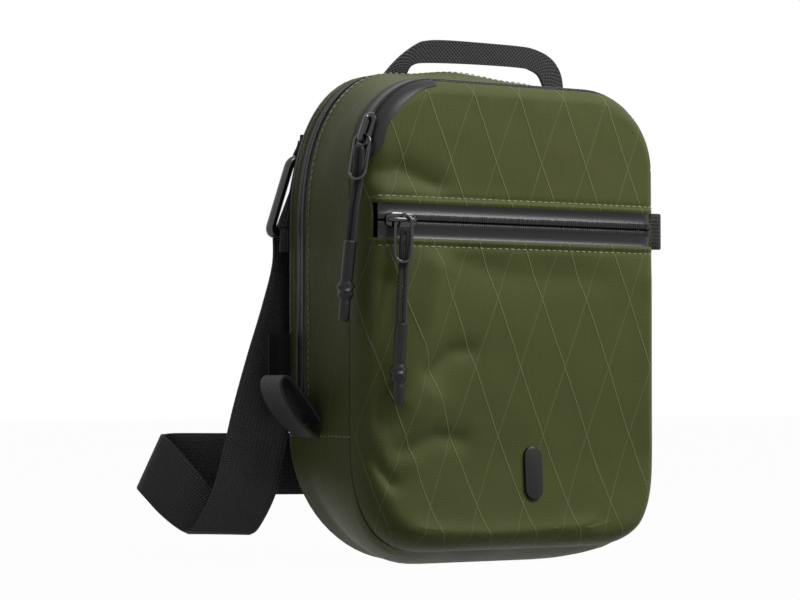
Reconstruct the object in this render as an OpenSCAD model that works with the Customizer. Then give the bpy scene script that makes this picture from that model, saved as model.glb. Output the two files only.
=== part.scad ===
// Sling bag: fabric shells, three zips with cord pulls, grab handle, ring and shoulder strap.
// Millimetres. Origin at the middle of the base, on the floor: +X right, -Y front, +Z up.

/* [Body] */
// Width across the sides
body_w = 166; // [154:2:178]
// Height of the rear edge where its top corners end
body_h = 237; // [228:1:250]
// Rise of the rear top edge in its middle
top_arch = 3; // [1:0.5:5]
// Depth of the main panel, from the front seam to the main zip
gusset_d = 42.8; // [36:0.4:52]
// Height of the base panel, where the main zip ends
boot_h = 64; // [60:1:70]
// Width of the strip between the main zip and the back panel
rear_strip = 3.8; // [3:0.2:6]
// Thickness of the lined fabric walls
wall = 1.6; // [1.2:0.1:2]
// Width of the rear top corners
rear_corner_w = 50; // [44:1:56]
// Height of the rear top corners
rear_corner_h = 77; // [66:1:84]
// Width of the base corners at the rear
base_corner_w = 62; // [54:1:66]
// Thickness of the padded back panel
pad_t = 3.2; // [2:0.2:5]
// Thickness of the foam sheet inside the back panel
foam_t = 3.4; // [2:0.2:4]

/* [Front compartment] */
// Height of its top edge
front_h = 229.5; // [222:0.5:232]
// Radius of its top corners, which the top zip follows
front_corner_r = 40; // [34:1:44]
// Width of its bottom corners
front_corner_w = 40; // [34:1:46]
// Height of its bottom edge above the floor
front_rise = 8; // [6:0.5:10]
// Depth from the front seam to the front face
front_d = 17; // [14:0.5:21]
// Radius of the rounded front edges across the face
front_round = 10; // [8:0.5:12]
// Bulge of the front face in its middle
crown = 2; // [1:0.5:3]
// How far the bottom of the front seam leans forward
seam_fall = 6.6; // [4:0.2:8]
// Clear depth of the front pocket behind its zip
pocket_d = 5; // [4:0.5:6]

/* [Zips] */
// Width of the main zip
main_zip_w = 9.8; // [8:0.2:12]
// Turn of the rounded front edge at which the top zip ends, in degrees
top_zip_turn = 46; // [38:1:50]
// Drop of the middle of the pocket zip below the front's top edge
pocket_zip_drop = 69; // [60:0.5:80]
// Height of the pocket zip's window
pocket_zip_w = 16; // [12:1:20]
// Width of the pocket zip's window
pocket_zip_l = 154; // [136:2:156]
// How deep the zips lie under the fabric
zip_sink = 0.8; // [0.4:0.1:1]
// Thickness of the zip tapes
tape_t = 1; // [0.8:0.1:1.2]
// Width of the zip coils
coil_w = 4.4; // [3.6:0.2:5.6]
// Height of the zip coils
coil_t = 1.4; // [1:0.1:2]
// Length of a slider
slider_l = 16; // [13:1:18]
// Width of a slider
slider_w = 7; // [6:0.5:7]
// Thickness of a slider's plate
slider_t = 2.2; // [1.6:0.2:3]
// Diameter of the sliders' bridge rods
bridge_rod = 2.2; // [1.8:0.1:2.6]

/* [Pulls] */
// Length of a pull ring
ring_l = 23; // [19:1:26]
// Width of a pull ring
ring_w = 9; // [8:0.5:11]
// Diameter of a pull ring's wire
ring_wire = 1.5; // [1.2:0.1:1.8]
// Diameter of the pull cords
cord_d = 2.4; // [2:0.1:2.6]
// Length of the rubber tube on a cord
grip_l = 36; // [28:1:40]
// Diameter of the rubber tube
grip_d = 5.8; // [5.2:0.2:7]
// Diameter of its swelling over the knot
knot_d = 8.4; // [7:0.2:9]

/* [Strap and handle] */
// Width of the shoulder webbing
strap_w = 30; // [26:1:32]
// Thickness of the webbing
strap_t = 1.6; // [1.2:0.1:2]
// Diameter of the strap ring's wire
strap_wire = 4.8; // [4:0.2:5.4]
// Height of the strap ring
strap_ring_h = 36; // [30:1:42]
// Thickness of the handle
handle_t = 2; // [1.6:0.1:2.6]
// Width of the handle's webbing
handle_w = 11.5; // [10:0.5:13]
// Height of the handle's upper edge above the rear edge
handle_rise = 20; // [18:0.5:25]

/* [Hidden] */

// Clearance between pieces that move past each other
gap = 0.3;
// How far the base panel's fabric lies over the main panel's
lap = 0.5;

// Depths of the seams, front to back
seam_y = -gusset_d / 2;
zip_y = gusset_d / 2;
zip_mid_y = zip_y + main_zip_w / 2;
strip_y = zip_y + main_zip_w;
back_y = strip_y + rear_strip;
pad_y = back_y + pad_t;
front_y = seam_y - front_d;

// The base lies flat from here back, and lifts towards the front seam
base_flat_y = -8;
base_low_y = seam_y - seam_fall;

// Round stretches of the outlines: degrees between points
corner_step = 10;
arch_steps = 6;

// Height of the middle of the pocket zip
pocket_zip_z = front_h - pocket_zip_drop;

// The corners of the front compartment's top edge
front_corner_x = body_w / 2 - front_corner_r;
front_corner_z = front_h - front_corner_r;

// How square the corners are: 1 is round, and less is squarer
rear_power = 0.88;
low_power = 0.68;

function clamp(v) = min(max(v, 0), 1);
function swell(v, power) = pow(clamp(v), power);
function mix(a, b, t) = a + (b - a) * t;
function forward(y) = clamp((zip_y - y) / gusset_d);
function shift(points, y) = [for (p = points) p + [0, y, 0]];
function reverse(list) = [for (i = [len(list) - 1 : -1 : 0]) list[i]];
function unit(v) = v / norm(v);

// The body's outline above the base panel, from right to left, at depth y and inset by off
function upper(y, off, lift = 0) =
  let (f = forward(y), w = body_w / 2 - off,
    a = mix(rear_corner_w, front_corner_r, f) - off, p = mix(rear_power, 1, f),
    b = mix(rear_corner_h, front_corner_r, f) - off,
    top = mix(body_h, front_h, f) - off, xc = w - a, zc = top - b, arch = top_arch * (1 - f))
  concat(
    [[w, y, boot_h + lift]],
    [for (t = [0 : corner_step : 90]) [xc + a * swell(cos(t), p), y, zc + b * swell(sin(t), p)]],
    [for (i = [1 : arch_steps - 1]) let (x = xc * (1 - 2 * i / arch_steps))
      [x, y, top + arch * (1 + cos(180 * x / xc)) / 2]],
    [for (t = [90 : -corner_step : 0]) [-a * swell(cos(t), p) - xc, y, zc + b * swell(sin(t), p)]],
    [[-w, y, boot_h + lift]]);

// The height of the base and the width of its corners at depth y
function base_z(y) = front_rise * pow(clamp((base_flat_y - y) / (base_flat_y - base_low_y)), 1.4);
function base_corner(y) = mix(base_corner_w, front_corner_w, forward(y));

// The front seam leans forward below the base panel's edge
function seam_at(z) = seam_y - seam_fall * pow(clamp((boot_h - z) / (boot_h - front_rise)), 2);

// A point of the base outline at turn t of its corner
function base_point(t, y, off, side) =
  let (a = base_corner(y), b = boot_h - base_z(y), p = mix(1, low_power, forward(y)))
  [side * (body_w / 2 - a + (a - off) * swell(cos(t), p)), y, boot_h - (b - off) * swell(sin(t), p)];
function row_y(t, f) = mix(back_y, seam_at(boot_h - (boot_h - front_rise) * swell(sin(t), low_power)), f);
// The base outline from right to left: a part f of the way from the back to the front seam
function lower(f, off) = concat(
  [for (t = [0 : corner_step : 90]) base_point(t, row_y(t, f), off, 1)],
  [for (t = [90 : -corner_step : 0]) base_point(t, row_y(t, f), off, -1)]);
function lower_flat(y, off) = concat(
  [for (t = [0 : corner_step : 90]) base_point(t, y, off, 1)],
  [for (t = [90 : -corner_step : 0]) base_point(t, y, off, -1)]);

// A thick sheet between two grids of points. Its rows times its columns point outwards.
module sheet(outer, inner) {
  rows = len(outer);
  cols = len(outer[0]);
  n = rows * cols;
  function quad(a, b, c, d) = [[a, b, c], [a, c, d]];
  faces = concat(
    [for (i = [0 : rows - 2], j = [0 : cols - 2]) let (k = i * cols + j)
      each quad(k, k + 1, k + cols + 1, k + cols)],
    [for (i = [0 : rows - 2], j = [0 : cols - 2]) let (k = n + i * cols + j)
      each quad(k, k + cols, k + cols + 1, k + 1)],
    [for (j = [0 : cols - 2]) each quad(j + 1, j, n + j, n + j + 1)],
    [for (j = [0 : cols - 2]) let (k = n - cols + j) each quad(k, k + 1, n + k + 1, n + k)],
    [for (i = [0 : rows - 2]) let (k = i * cols) each quad(k, k + cols, n + k + cols, n + k)],
    [for (i = [0 : rows - 2]) let (k = i * cols + cols - 1) each quad(k + cols, k, n + k, n + k + cols)]);
  polyhedron(concat([for (r = outer) each r], [for (r = inner) each r]), faces, convexity = 8);
}

// A skin over rings of points: it has flat ends, or closes on itself as a loop
module skin(rings, loop = false) {
  m = len(rings[0]);
  last = len(rings) - 1;
  faces = concat(
    [for (r = [0 : loop ? last : last - 1], i = [0 : m - 1])
      let (j = (i + 1) % m, a = r * m, b = (r + 1) % (last + 1) * m)
      each [[a + i, a + j, b + j], [a + i, b + j, b + i]]],
    loop ? [] : [[for (i = [m - 1 : -1 : 0]) i], [for (i = [0 : m - 1]) last * m + i]]);
  polyhedron([for (r = rings) each r], faces, convexity = 8);
}

// ---- body shells ----

base_rows = [0, 0.1, 0.35, 0.64, 0.74, 0.82, 0.91, 1];
module base_panel() {
  color("darkolivegreen")
    sheet([for (f = base_rows) lower(f, 0)], [for (f = base_rows) lower(f, wall)]);
}

module main_panel() {
  rows = [for (f = [0 : 0.25 : 1]) mix(seam_y, zip_y, f)];
  color("darkolivegreen")
    sheet([for (y = rows) upper(y, lap)], [for (y = rows) upper(y, lap + wall)]);
}

module rear_strip_panel() {
  rows = [strip_y, back_y];
  color("darkolivegreen")
    sheet([for (y = rows) upper(y, lap, gap)], [for (y = rows) upper(y, lap + wall, gap)]);
}

// The edge of the padded back rounds over in three steps
pad_steps = [[0, lap], [0.7, lap + 0.6], [1, lap + 4]];
module back_panel() {
  color("dimgray")
    skin([for (s = pad_steps) shift(upper(back_y, s[1], gap), s[0] * pad_t)]);
}

module back_panel_lower() {
  color("dimgray")
    skin([for (s = pad_steps) shift(reverse(lower_flat(back_y, s[1])), s[0] * pad_t)]);
}

module back_foam() {
  inset = lap + wall + gap;
  color("silver")
    skin([for (y = [-foam_t, -0.1]) shift(upper(back_y, inset, 2), y)]);
}

divider_t = 1;
module divider_panel() {
  y = seam_y + 2;
  inset = lap + wall + gap;
  base = lower_flat(y, inset);
  outline = concat(upper(y, inset), [for (i = [len(base) - 2 : -1 : 1]) base[i]]);
  color("gray") skin([for (s = [0, divider_t]) shift(outline, s)]);
}

// ---- front compartment ----

// The front edge is a quarter turn phi: the inset and the depth forward of the seam
function edge_inset(phi, off) = front_round - (front_round - off) * cos(phi);
function edge_depth(phi, off) = gap + (front_d - gap - off) * sin(phi);

// Half the width of the front outline, inset by d, at height z
function half_x(z, d) =
  z > front_corner_z
    ? front_corner_x + (front_corner_r - d) * sqrt(1 - pow(clamp((z - front_corner_z) / (front_corner_r - d)), 2))
    : z < boot_h
      ? body_w / 2 - front_corner_w + (front_corner_w - d)
        * pow(1 - pow(clamp((boot_h - z) / (boot_h - front_rise - d)), 2 / low_power), low_power / 2)
      : body_w / 2 - d;
function bulge(x, z) = crown * (1 - pow(2 * x / body_w, 4)) * (1 - pow((z - front_h / 2) / (front_h / 2), 2));

// Parts of the way round the edge, then across the flat of the front
edge_parts = [0, 0.25, 0.5, 0.75, 1];
flat_parts = [0.7, 0.35, 0, -0.35, -0.7];
// One row of the front, from right to left, at height z: phi goes from start to turn
function front_row(z, turn, start, off) =
  let (spread = 4 * cos(turn),
    side = [for (g = edge_parts) let (phi = mix(start, turn, g), x = half_x(z, edge_inset(phi, off)) - spread * g)
      [x, seam_at(z) - edge_depth(phi, off) - sin(phi) * bulge(x, z), z]],
    inner_x = side[len(side) - 1].x)
  concat(side,
    [for (g = flat_parts) let (x = g * inner_x)
      [x, seam_at(z) - edge_depth(turn, off) - sin(turn) * bulge(x, z), z]],
    [for (i = [len(side) - 1 : -1 : 0]) [-side[i].x, side[i].y, side[i].z]]);
function bottom_rows(off) = [for (t = [0 : 15 : 75]) front_row(front_rise + edge_inset(t, off), t, 0, off)];
function straight_rows(heights, off) = [for (z = heights) front_row(z, 90, 0, off)];
function flap_rows(off) = concat(
  [for (z = [front_corner_z, front_corner_z + 8, front_corner_z + 16]) front_row(z, 90, top_zip_turn, off)],
  [for (g = [0, 0.25, 0.5, 0.75, 1]) let (t = mix(90, top_zip_turn, g)) front_row(front_h - edge_inset(t, off), t, top_zip_turn, off)]);

pocket_low = pocket_zip_z - pocket_zip_w / 2;
pocket_high = pocket_zip_z + pocket_zip_w / 2;
module zip_window() {
  translate([-pocket_zip_l / 2, front_y - crown - 5, pocket_low]) cube([pocket_zip_l, front_d, pocket_zip_w]);
}

module front_panel_lower() {
  low = front_rise + front_round;
  heights = concat([for (g = [0, 0.12, 0.26, 0.45, 0.7]) mix(low, boot_h, g)],
    [for (g = [0 : 0.34 : 1]) mix(boot_h + 1, pocket_zip_z, g)], [pocket_zip_z]);
  color("olivedrab") difference() {
    sheet(concat(bottom_rows(0), straight_rows(heights, 0)),
      concat(bottom_rows(wall), straight_rows(heights, wall)));
    zip_window();
  }
}

module front_panel_upper() {
  heights = [pocket_zip_z, pocket_high, front_corner_z - gap];
  color("olivedrab") difference() {
    sheet(straight_rows(heights, 0), straight_rows(heights, wall));
    zip_window();
  }
}

module front_flap() {
  color("olivedrab") sheet(flap_rows(0), flap_rows(wall));
}

module pocket_lining() {
  w = pocket_zip_l - 20;
  low = front_rise + 22;
  high = pocket_low - gap;
  y = front_y - 1;
  color("gray") difference() {
    translate([-w / 2, y + wall + 3 * gap, low]) cube([w, pocket_d + 1, high - low]);
    translate([-w / 2 + 1, y, low + 1]) cube([w - 2, pocket_d + wall + 3 * gap, high - low]);
  }
}

// A strip on the pocket zip's window, between two heights, under the front face
function window_row(z, off) =
  [for (g = [1, 0.94, 0.85, 0.6, 0.3, 0, -0.3, -0.6, -0.85, -0.94, -1])
    let (x = g * (pocket_zip_l / 2 - 0.1), d = body_w / 2 - abs(x),
      s = sqrt(1 - pow(1 - clamp((d - off) / (front_round - off)), 2)))
    [x, seam_y - (front_d - off) * s - s * bulge(x, z), z]];
module window_strip(z0, z1, off, thick) {
  sheet([for (z = [z0, z1]) window_row(z, off)], [for (z = [z0, z1]) window_row(z, off + thick)]);
}

module pocket_zip_upper_tape() {
  color("black") window_strip(pocket_zip_z + 0.1, pocket_high, zip_sink, tape_t);
}
module pocket_zip_lower_tape() {
  color("black") window_strip(pocket_low, pocket_zip_z - 0.1, zip_sink, tape_t);
}
module pocket_zip_coil() {
  color("black") window_strip(pocket_zip_z - coil_w / 2, pocket_zip_z + coil_w / 2, zip_sink + tape_t + 0.1, coil_t);
}

// ---- main and top zips ----

module main_zip_strip(y0, y1, off, thick, lift) {
  sheet([for (y = [y0, y1]) upper(y, off, lift)], [for (y = [y0, y1]) upper(y, off + thick, lift)]);
}
module main_zip_front_tape() {
  color("black") main_zip_strip(zip_y, zip_mid_y - gap / 2, lap + zip_sink, tape_t, 0);
}
module main_zip_rear_tape() {
  color("black") main_zip_strip(zip_mid_y + gap / 2, strip_y, lap + zip_sink, tape_t, gap);
}
module main_zip_coil() {
  color("black")
    main_zip_strip(zip_mid_y - coil_w / 2, zip_mid_y - gap / 2, lap + zip_sink + tape_t, coil_t, 0);
}

// The top zip's line at turn phi of the front edge, from right to left
function top_line(phi, off) =
  let (d = edge_inset(phi, off), y = seam_y - edge_depth(phi, off))
  concat(
    [for (t = [0 : corner_step : 90]) [front_corner_x + (front_corner_r - d) * cos(t), y,
      front_corner_z + (front_corner_r - d) * sin(t)]],
    [for (t = [90 : corner_step : 180]) [(front_corner_r - d) * cos(t) - front_corner_x, y,
      front_corner_z + (front_corner_r - d) * sin(t)]]);
module top_zip_strip(turns, off, thick) {
  sheet([for (t = turns) top_line(t, off)], [for (t = turns) top_line(t, off + thick)]);
}
top_zip_mid = 0.78 * top_zip_turn;
// The turn that half the clearance takes on the rounded edge
gap_turn = gap / front_round * 90 / PI * 2;
module top_zip_rear_tape() {
  color("black") top_zip_strip([top_zip_mid - gap_turn / 2, top_zip_mid / 2, 0], lap + 0.2, tape_t);
}
module top_zip_front_tape() {
  color("black") top_zip_strip([top_zip_turn - gap_turn, (top_zip_turn + top_zip_mid) / 2, top_zip_mid + gap_turn / 2], lap + 0.2, tape_t);
}
module top_zip_coil() {
  color("black") top_zip_strip([top_zip_mid - gap_turn / 2, top_zip_mid - 7], lap + 0.3 + tape_t, coil_t);
}

// ---- sliders and pulls ----

// Stands children at point o, with their X along u and their Z along n
module place(o, u, n) {
  v = cross(n, u);
  multmatrix([[u.x, v.x, n.x, o.x], [u.y, v.y, n.y, o.y], [u.z, v.z, n.z, o.z], [0, 0, 0, 1]]) children();
}

// The bridge's rod stands off the plate by the ring's wire and a little room
wire_room = 0.2;
bridge_gap = ring_wire + 4 * wire_room;
rod_z = gap + slider_t + bridge_gap + bridge_rod / 2;
bridge_back = -slider_l / 2 + 1.4;
bridge_front = slider_l / 2 - 1.5;
slider_corner = 2;

// A slider on its zip: it travels along X, and its outer side is up
module slider() {
  color("black") {
    translate([0, 0, gap]) linear_extrude(slider_t) {
      square([slider_l - 2 * slider_corner, slider_w], center = true);
      square([slider_l, slider_w - 2 * slider_corner], center = true);
      for (x = [-1, 1], y = [-1, 1])
        translate([x * (slider_l / 2 - slider_corner), y * (slider_w / 2 - slider_corner)])
          circle(slider_corner, $fn = 24);
    }
    for (x = [bridge_back, bridge_front]) {
      translate([x, 0, gap + slider_t / 2]) cylinder(h = rod_z - gap - slider_t / 2, d = bridge_rod, $fn = 24);
      translate([x, 0, rod_z]) sphere(d = bridge_rod, $fn = 24);
    }
    translate([bridge_back, 0, rod_z]) rotate([0, 90, 0])
      cylinder(h = bridge_front - bridge_back, d = bridge_rod, $fn = 24);
  }
}

// A wire ring: its top wire's middle is at the origin, and it hangs along -Y, flat in XY
ring_half = (ring_w - ring_wire) / 2;
ring_drop = ring_l - ring_wire;
module pull_ring() {
  color("black") {
    translate([0, -ring_half, 0]) rotate_extrude(angle = 180, $fn = 48)
      translate([ring_half, 0]) circle(d = ring_wire, $fn = 16);
    translate([0, ring_half - ring_drop, 0]) rotate([0, 0, 180]) rotate_extrude(angle = 180, $fn = 48)
      translate([ring_half, 0]) circle(d = ring_wire, $fn = 16);
    for (side = [-1, 1]) translate([side * ring_half, -ring_half, 0]) rotate([90, 0, 0])
      cylinder(h = ring_drop - 2 * ring_half, d = ring_wire, $fn = 16);
  }
}

// A tube of eight sides along a route
function tube_ring(route, i, d) =
  let (last = len(route) - 1, t = unit(route[min(i + 1, last)] - route[max(i - 1, 0)]),
    a = unit(cross(t, [0.2, 1, 0.1])), b = cross(t, a))
  [for (k = [0 : 7]) route[i] + d / 2 * (cos(45 * k) * a - sin(45 * k) * b)];
module tube(route, d) {
  skin([for (i = [0 : len(route) - 1]) tube_ring(route, i, d)]);
}

// A doubled cord: it rises from the rubber tube, loops over the ring's wire at the origin
// and comes back. X is along the wire, Z is up the cord.
cord_run = 29;
cord_route = [[-1.3, 0, -29], [-1.3, 0, -24], [-1.3, 0, -19], [-1.3, 0, -14], [-1.3, 0, -10], [-1.3, -0.7, -7],
  [-1.2, -1.9, -4], [-1, -2.7, -1], [-0.6, -2.1, 1.6], [0, 0, 2.7], [0.6, 2.1, 1.6], [1, 2.7, -1],
  [1.2, 1.9, -4], [1.3, 0.7, -7], [1.3, 0, -10], [1.3, 0, -14], [1.3, 0, -19], [1.3, 0, -24], [1.3, 0, -29]];
module pull_cord() {
  color("black") tube(cord_route, cord_d);
}

// The rubber tube at the cord's end swells over the knot
module pull_grip() {
  color("black") translate([0, 0, -cord_run - grip_l]) rotate_extrude($fn = 32) polygon([
    [0, 0], [grip_d / 2 - 0.9, 0], [grip_d / 2 - 0.3, 1], [grip_d / 2 - 0.3, grip_l * 0.24],
    [knot_d / 2, grip_l * 0.33], [knot_d / 2, grip_l * 0.44], [grip_d / 2, grip_l * 0.53],
    [grip_d / 2, grip_l], [0, grip_l]]);
}

// Pocket zip: its slider travels to the right, and its ring hangs round the bridge
pocket_slider_x = -(pocket_zip_l / 2 - 10);
pocket_tape_y = seam_y - (front_d - zip_sink) - bulge(0, pocket_zip_z) + 0.1;
pocket_slider_at = [pocket_slider_x, pocket_tape_y, pocket_zip_z];
ring_turn = -34;
pocket_ring_dir = [cos(ring_turn), sin(ring_turn), 0];
pocket_ring_at = pocket_slider_at + [-1.4, -rod_z, bridge_rod / 2 + ring_wire / 2 + 0.35];
pocket_bar_at = pocket_ring_at - [0, 0, ring_drop];
module pocket_slider() {
  place(pocket_slider_at, [1, 0, 0], [0, -1, 0]) slider();
}
module pocket_pull_ring() {
  place(pocket_ring_at, pocket_ring_dir, cross(pocket_ring_dir, [0, 0, 1])) pull_ring();
}
pocket_cord_up = unit([0.05, 0, 1]);
pocket_cord_dir = unit(cross(cross(pocket_cord_up, pocket_ring_dir), pocket_cord_up));
module pocket_cord() {
  place(pocket_bar_at, pocket_cord_dir, pocket_cord_up) pull_cord();
}
module pocket_grip() {
  place(pocket_bar_at, pocket_cord_dir, pocket_cord_up) pull_grip();
}

// Rings on the other two sliders lie along the bridge, in its gap
ring_z = gap + slider_t + wire_room + ring_wire / 2;
ring_x = 1;

// Top zip: its slider rests near the lower end of the left corner
top_slider_turn = 161;
top_normal_turn = top_zip_mid;
top_out = [cos(top_slider_turn), 0, sin(top_slider_turn)];
top_along = [sin(top_slider_turn), 0, -cos(top_slider_turn)];
top_normal = cos(top_normal_turn) * top_out + sin(top_normal_turn) * [0, -1, 0];
top_slider_at = [-front_corner_x, seam_y - edge_depth(top_zip_mid, 0), front_corner_z]
  + (front_corner_r - edge_inset(top_zip_mid, 0)) * top_out + 0.35 * top_normal;
top_ring_at = top_slider_at - 3 * top_along + ring_z * top_normal;
// The ring hangs a little forward over the slider's plate, and the cord's end back against the side
top_aim = [-0.26, -0.14, -0.95];
top_hang = unit(top_aim - (top_aim * top_normal) * top_normal);
top_bar_at = top_ring_at + ring_drop * top_hang;
module top_slider() {
  place(top_slider_at, top_along, top_normal) slider();
}
top_wire_dir = unit(cross(-top_hang, top_normal));
module top_pull_ring() {
  place(top_ring_at, top_wire_dir, cross(top_wire_dir, -top_hang)) pull_ring();
}
top_cord_up = unit([0.035, -0.13, 0.99]);
top_cord_dir = unit(cross(cross(top_cord_up, top_wire_dir), top_cord_up));
module top_cord() {
  place(top_bar_at, top_cord_dir, top_cord_up) pull_cord();
}
module top_grip() {
  place(top_bar_at, top_cord_dir, top_cord_up) pull_grip();
}

// Main zip: its slider rests at the lower end on the right, and its pull leans backward, its end
// just off the floor
main_slider_z = boot_h + slider_l / 2 + 7;
main_lean = 8;
main_slider_at = [body_w / 2 - lap - zip_sink, zip_mid_y, main_slider_z];
main_ring_at = main_slider_at + [ring_z, 0, ring_x];
main_hang = [sin(main_lean), 0, -cos(main_lean)];
main_bar_at = main_ring_at + ring_drop * main_hang;
main_cord_tilt = acos((main_bar_at.z - 2) / (cord_run + grip_l));
main_cord_up = [0, -sin(main_cord_tilt), cos(main_cord_tilt)];
main_cord_dir = [0, cos(main_cord_tilt), sin(main_cord_tilt)];
module main_slider() {
  place(main_slider_at, [0, 0, 1], [1, 0, 0]) slider();
}
module main_pull_ring() {
  place(main_ring_at, [0, 1, 0], cross([0, 1, 0], -main_hang)) pull_ring();
}
module main_cord() {
  place(main_bar_at, main_cord_dir, main_cord_up) pull_cord();
}
module main_grip() {
  place(main_bar_at, main_cord_dir, main_cord_up) pull_grip();
}

// ---- small trim ----

// A plain rounded plate stands where the front carries its badge
plate_at = [5, 44];
plate_w = 10;
plate_h = 25;
plate_t = 1.2;
function face_y(z) = seam_at(z) - front_d - bulge(plate_at.x, z);
module front_plate() {
  low = plate_at.y - plate_h / 2;
  high = plate_at.y + plate_h / 2;
  lean = atan2(face_y(high) - face_y(low), plate_h);
  y = (face_y(high) + face_y(low)) / 2 - 0.3;
  color("black") translate([plate_at.x, y, plate_at.y]) rotate([90 - lean, 0, 0]) linear_extrude(plate_t) {
    square([plate_w, plate_h - plate_w], center = true);
    for (side = [-1, 1]) translate([0, side * (plate_h - plate_w) / 2]) circle(d = plate_w, $fn = 32);
  }
}

// A folded webbing tab on the front panel's right edge, between two turns of the rounded edge
side_tab_out = 5.4;
side_tab_h = 17.5;
side_tab_turns = [27, 34, 41];
module side_tab() {
  base = [for (t = side_tab_turns) [body_w / 2 - edge_inset(t, 0) + 0.2, seam_y - edge_depth(t, 0)]];
  end_r = (base[0].y - base[2].y) / 2;
  color("black") translate([0, 0, pocket_zip_z - side_tab_h / 2]) linear_extrude(side_tab_h) union() {
    polygon(concat(base, [[body_w / 2 + side_tab_out - end_r, base[2].y], [body_w / 2 + side_tab_out - end_r, base[0].y]]));
    translate([body_w / 2 + side_tab_out - end_r, (base[0].y + base[2].y) / 2]) circle(end_r, $fn = 24);
  }
}

// A folded loop of webbing at the lower left end of the main zip, to hold while it opens
loop_w = 20;
loop_l = 30;
loop_t = 4.2;
loop_eye = 1.2;
module zip_end_loop() {
  color("black") translate([-body_w / 2, zip_mid_y - loop_w - gap, boot_h - 3]) rotate([90, 0, 0]) mirror([0, 0, 1])
    linear_extrude(loop_w) difference() {
      union() {
        translate([-4, -6]) square([4, 8]);
        translate([-2, 0]) rotate([0, 0, 132]) translate([0, -loop_t / 2]) square([loop_l - loop_t, loop_t]);
        translate([-2, 0]) rotate([0, 0, 132]) translate([loop_l - loop_t, 0]) circle(d = loop_t, $fn = 24);
      }
      translate([-2, 0]) rotate([0, 0, 132]) translate([loop_l - loop_t, 0]) circle(d = loop_eye, $fn = 24);
    }
}

// A blank woven label beside the back panel, in the left rear seam
label_out = 12;
label_h = 26;
module side_label() {
  color("black") translate([-body_w / 2 + lap - 0.2 - label_out, back_y + 0.4, 87]) cube([label_out, 1, label_h]);
}

// ---- strap, handle and their anchors ----

anchor_t = 1.4;
wire_clear = 0.4;
strap_ring_x = 11.5 - body_w / 2;
strap_ring_top = body_h - 43;
strap_ring_narrow = 14;
strap_ring_wide = 38;
eye_r = strap_wire / 2 + wire_clear + anchor_t;
strap_ring_y = pad_y + gap + eye_r;
strap_ring_low = strap_ring_top - strap_ring_h;

// A loop of wire through corners that lie in a plane of constant Y, each corner rounded
function rounded(c, size) = [for (i = [0 : len(c) - 1], t = [0 : 0.25 : 1])
  let (n = len(c), a = c[i] + size * unit(c[(i + n - 1) % n] - c[i]), b = c[i] + size * unit(c[(i + 1) % n] - c[i]))
  mix(mix(a, c[i], t), mix(c[i], b, t), t)];
module wire_frame(corners, d, size) {
  route = rounded(corners, size);
  n = len(route);
  skin([for (i = [0 : n - 1])
    let (along = unit(route[(i + 1) % n] - route[(i + n - 1) % n]), side = cross(along, [0, 1, 0]), v = cross(along, side))
    [for (k = [0 : 30 : 330]) route[i] + d / 2 * (cos(k) * side - sin(k) * v)]], true);
}
module strap_ring() {
  corners = [for (p = [[-strap_ring_narrow, strap_ring_top], [strap_ring_narrow, strap_ring_top],
    [strap_ring_wide, strap_ring_low], [-strap_ring_wide, strap_ring_low]])
    [strap_ring_x + p.x / 2, strap_ring_y, p.y]];
  color("black") wire_frame(corners, strap_wire, 3);
}

// A webbing loop round a wire of diameter d along X, with a tail that rises by tail
module wire_loop(width, d, tail) {
  r = d / 2 + wire_clear;
  rotate([90, 0, 90]) translate([0, 0, -width / 2]) linear_extrude(width) difference() {
    union() {
      circle(r + anchor_t, $fn = 32);
      translate([-r - anchor_t, 0]) square([2 * anchor_t, tail]);
    }
    circle(r, $fn = 32);
  }
}
module upper_anchor() {
  color("black") {
    translate([strap_ring_x, strap_ring_y, strap_ring_top]) wire_loop(strap_ring_narrow - strap_wire - 1, strap_wire, 7);
    // A patch of webbing on the back panel, under the ring
    translate([strap_ring_x, pad_y + gap + anchor_t, strap_ring_top]) rotate([90, 0, 0]) linear_extrude(anchor_t)
      polygon([[-16, -30], [-6.5, 0], [-4, 12], [12, 12], [12, -30]]);
  }
}

// The strap's two edges, from the ring down to the left, where it curls above the floor, then
// back behind the bag to the lower ring. Both its ends fold over a ring's wire.
lower_ring_x = body_w / 2 - 22;
lower_ring_y = pad_y + 4.4;
lower_ring_z = boot_h - 18;
// The strap's lie grows with the body
lie = body_w / 166;
run_start = lie * [-75, 66, 47];
run_end = [lower_ring_x - 16, lower_ring_y + 5.4, lower_ring_z];
half_w = strap_w / 2;
fold_r = strap_wire / 2 + wire_clear + strap_t / 2;
function upright(p, turn = 0) =
  [p - half_w * [cos(turn), -sin(turn), 0], p + half_w * [cos(turn), -sin(turn), 0]];
function level(p) = [p - [0, 0, half_w], p + [0, 0, half_w]];
ring_fold = [for (t = [180, 135, 90, 45, 0])
  upright([strap_ring_x, strap_ring_y + fold_r * cos(t), strap_ring_low + fold_r * sin(t)])];
low_fold_r = strap_t / 2 + gap + 1.8;
low_fold = [for (t = [90, 45, 0, -45, -90])
  level([lower_ring_x + low_fold_r * cos(t), lower_ring_y + low_fold_r * sin(t), lower_ring_z])];
strap_curl = [
  [[-114.8, 54.3, 35], [-88.8, 37.4, 35]], [[-119.6, 58.6, 22], [-93.6, 41.7, 21]],
  [[-122.3, 62.5, 15.5], [-97.4, 46.3, 14.6]], [[-121.6, 71, 15], [-100, 58, 17.8]],
  [[-125, 76, 18], [-104.5, 63.5, 29]], [[-130.5, 80.5, 24], [-113.5, 69, 42]],
  [[-134.7, 84.5, 30], [-121.7, 75.5, 54]], [[-137, 89, 34.5], [-126.5, 82.5, 61]],
  [[-133.5, 94.5, 34.5], [-123, 88.5, 61.5]], [[-124, 93.5, 33.5], [-116, 89, 62]],
  [[-104, 81, 32.5], [-101, 79.5, 62]]];
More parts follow.
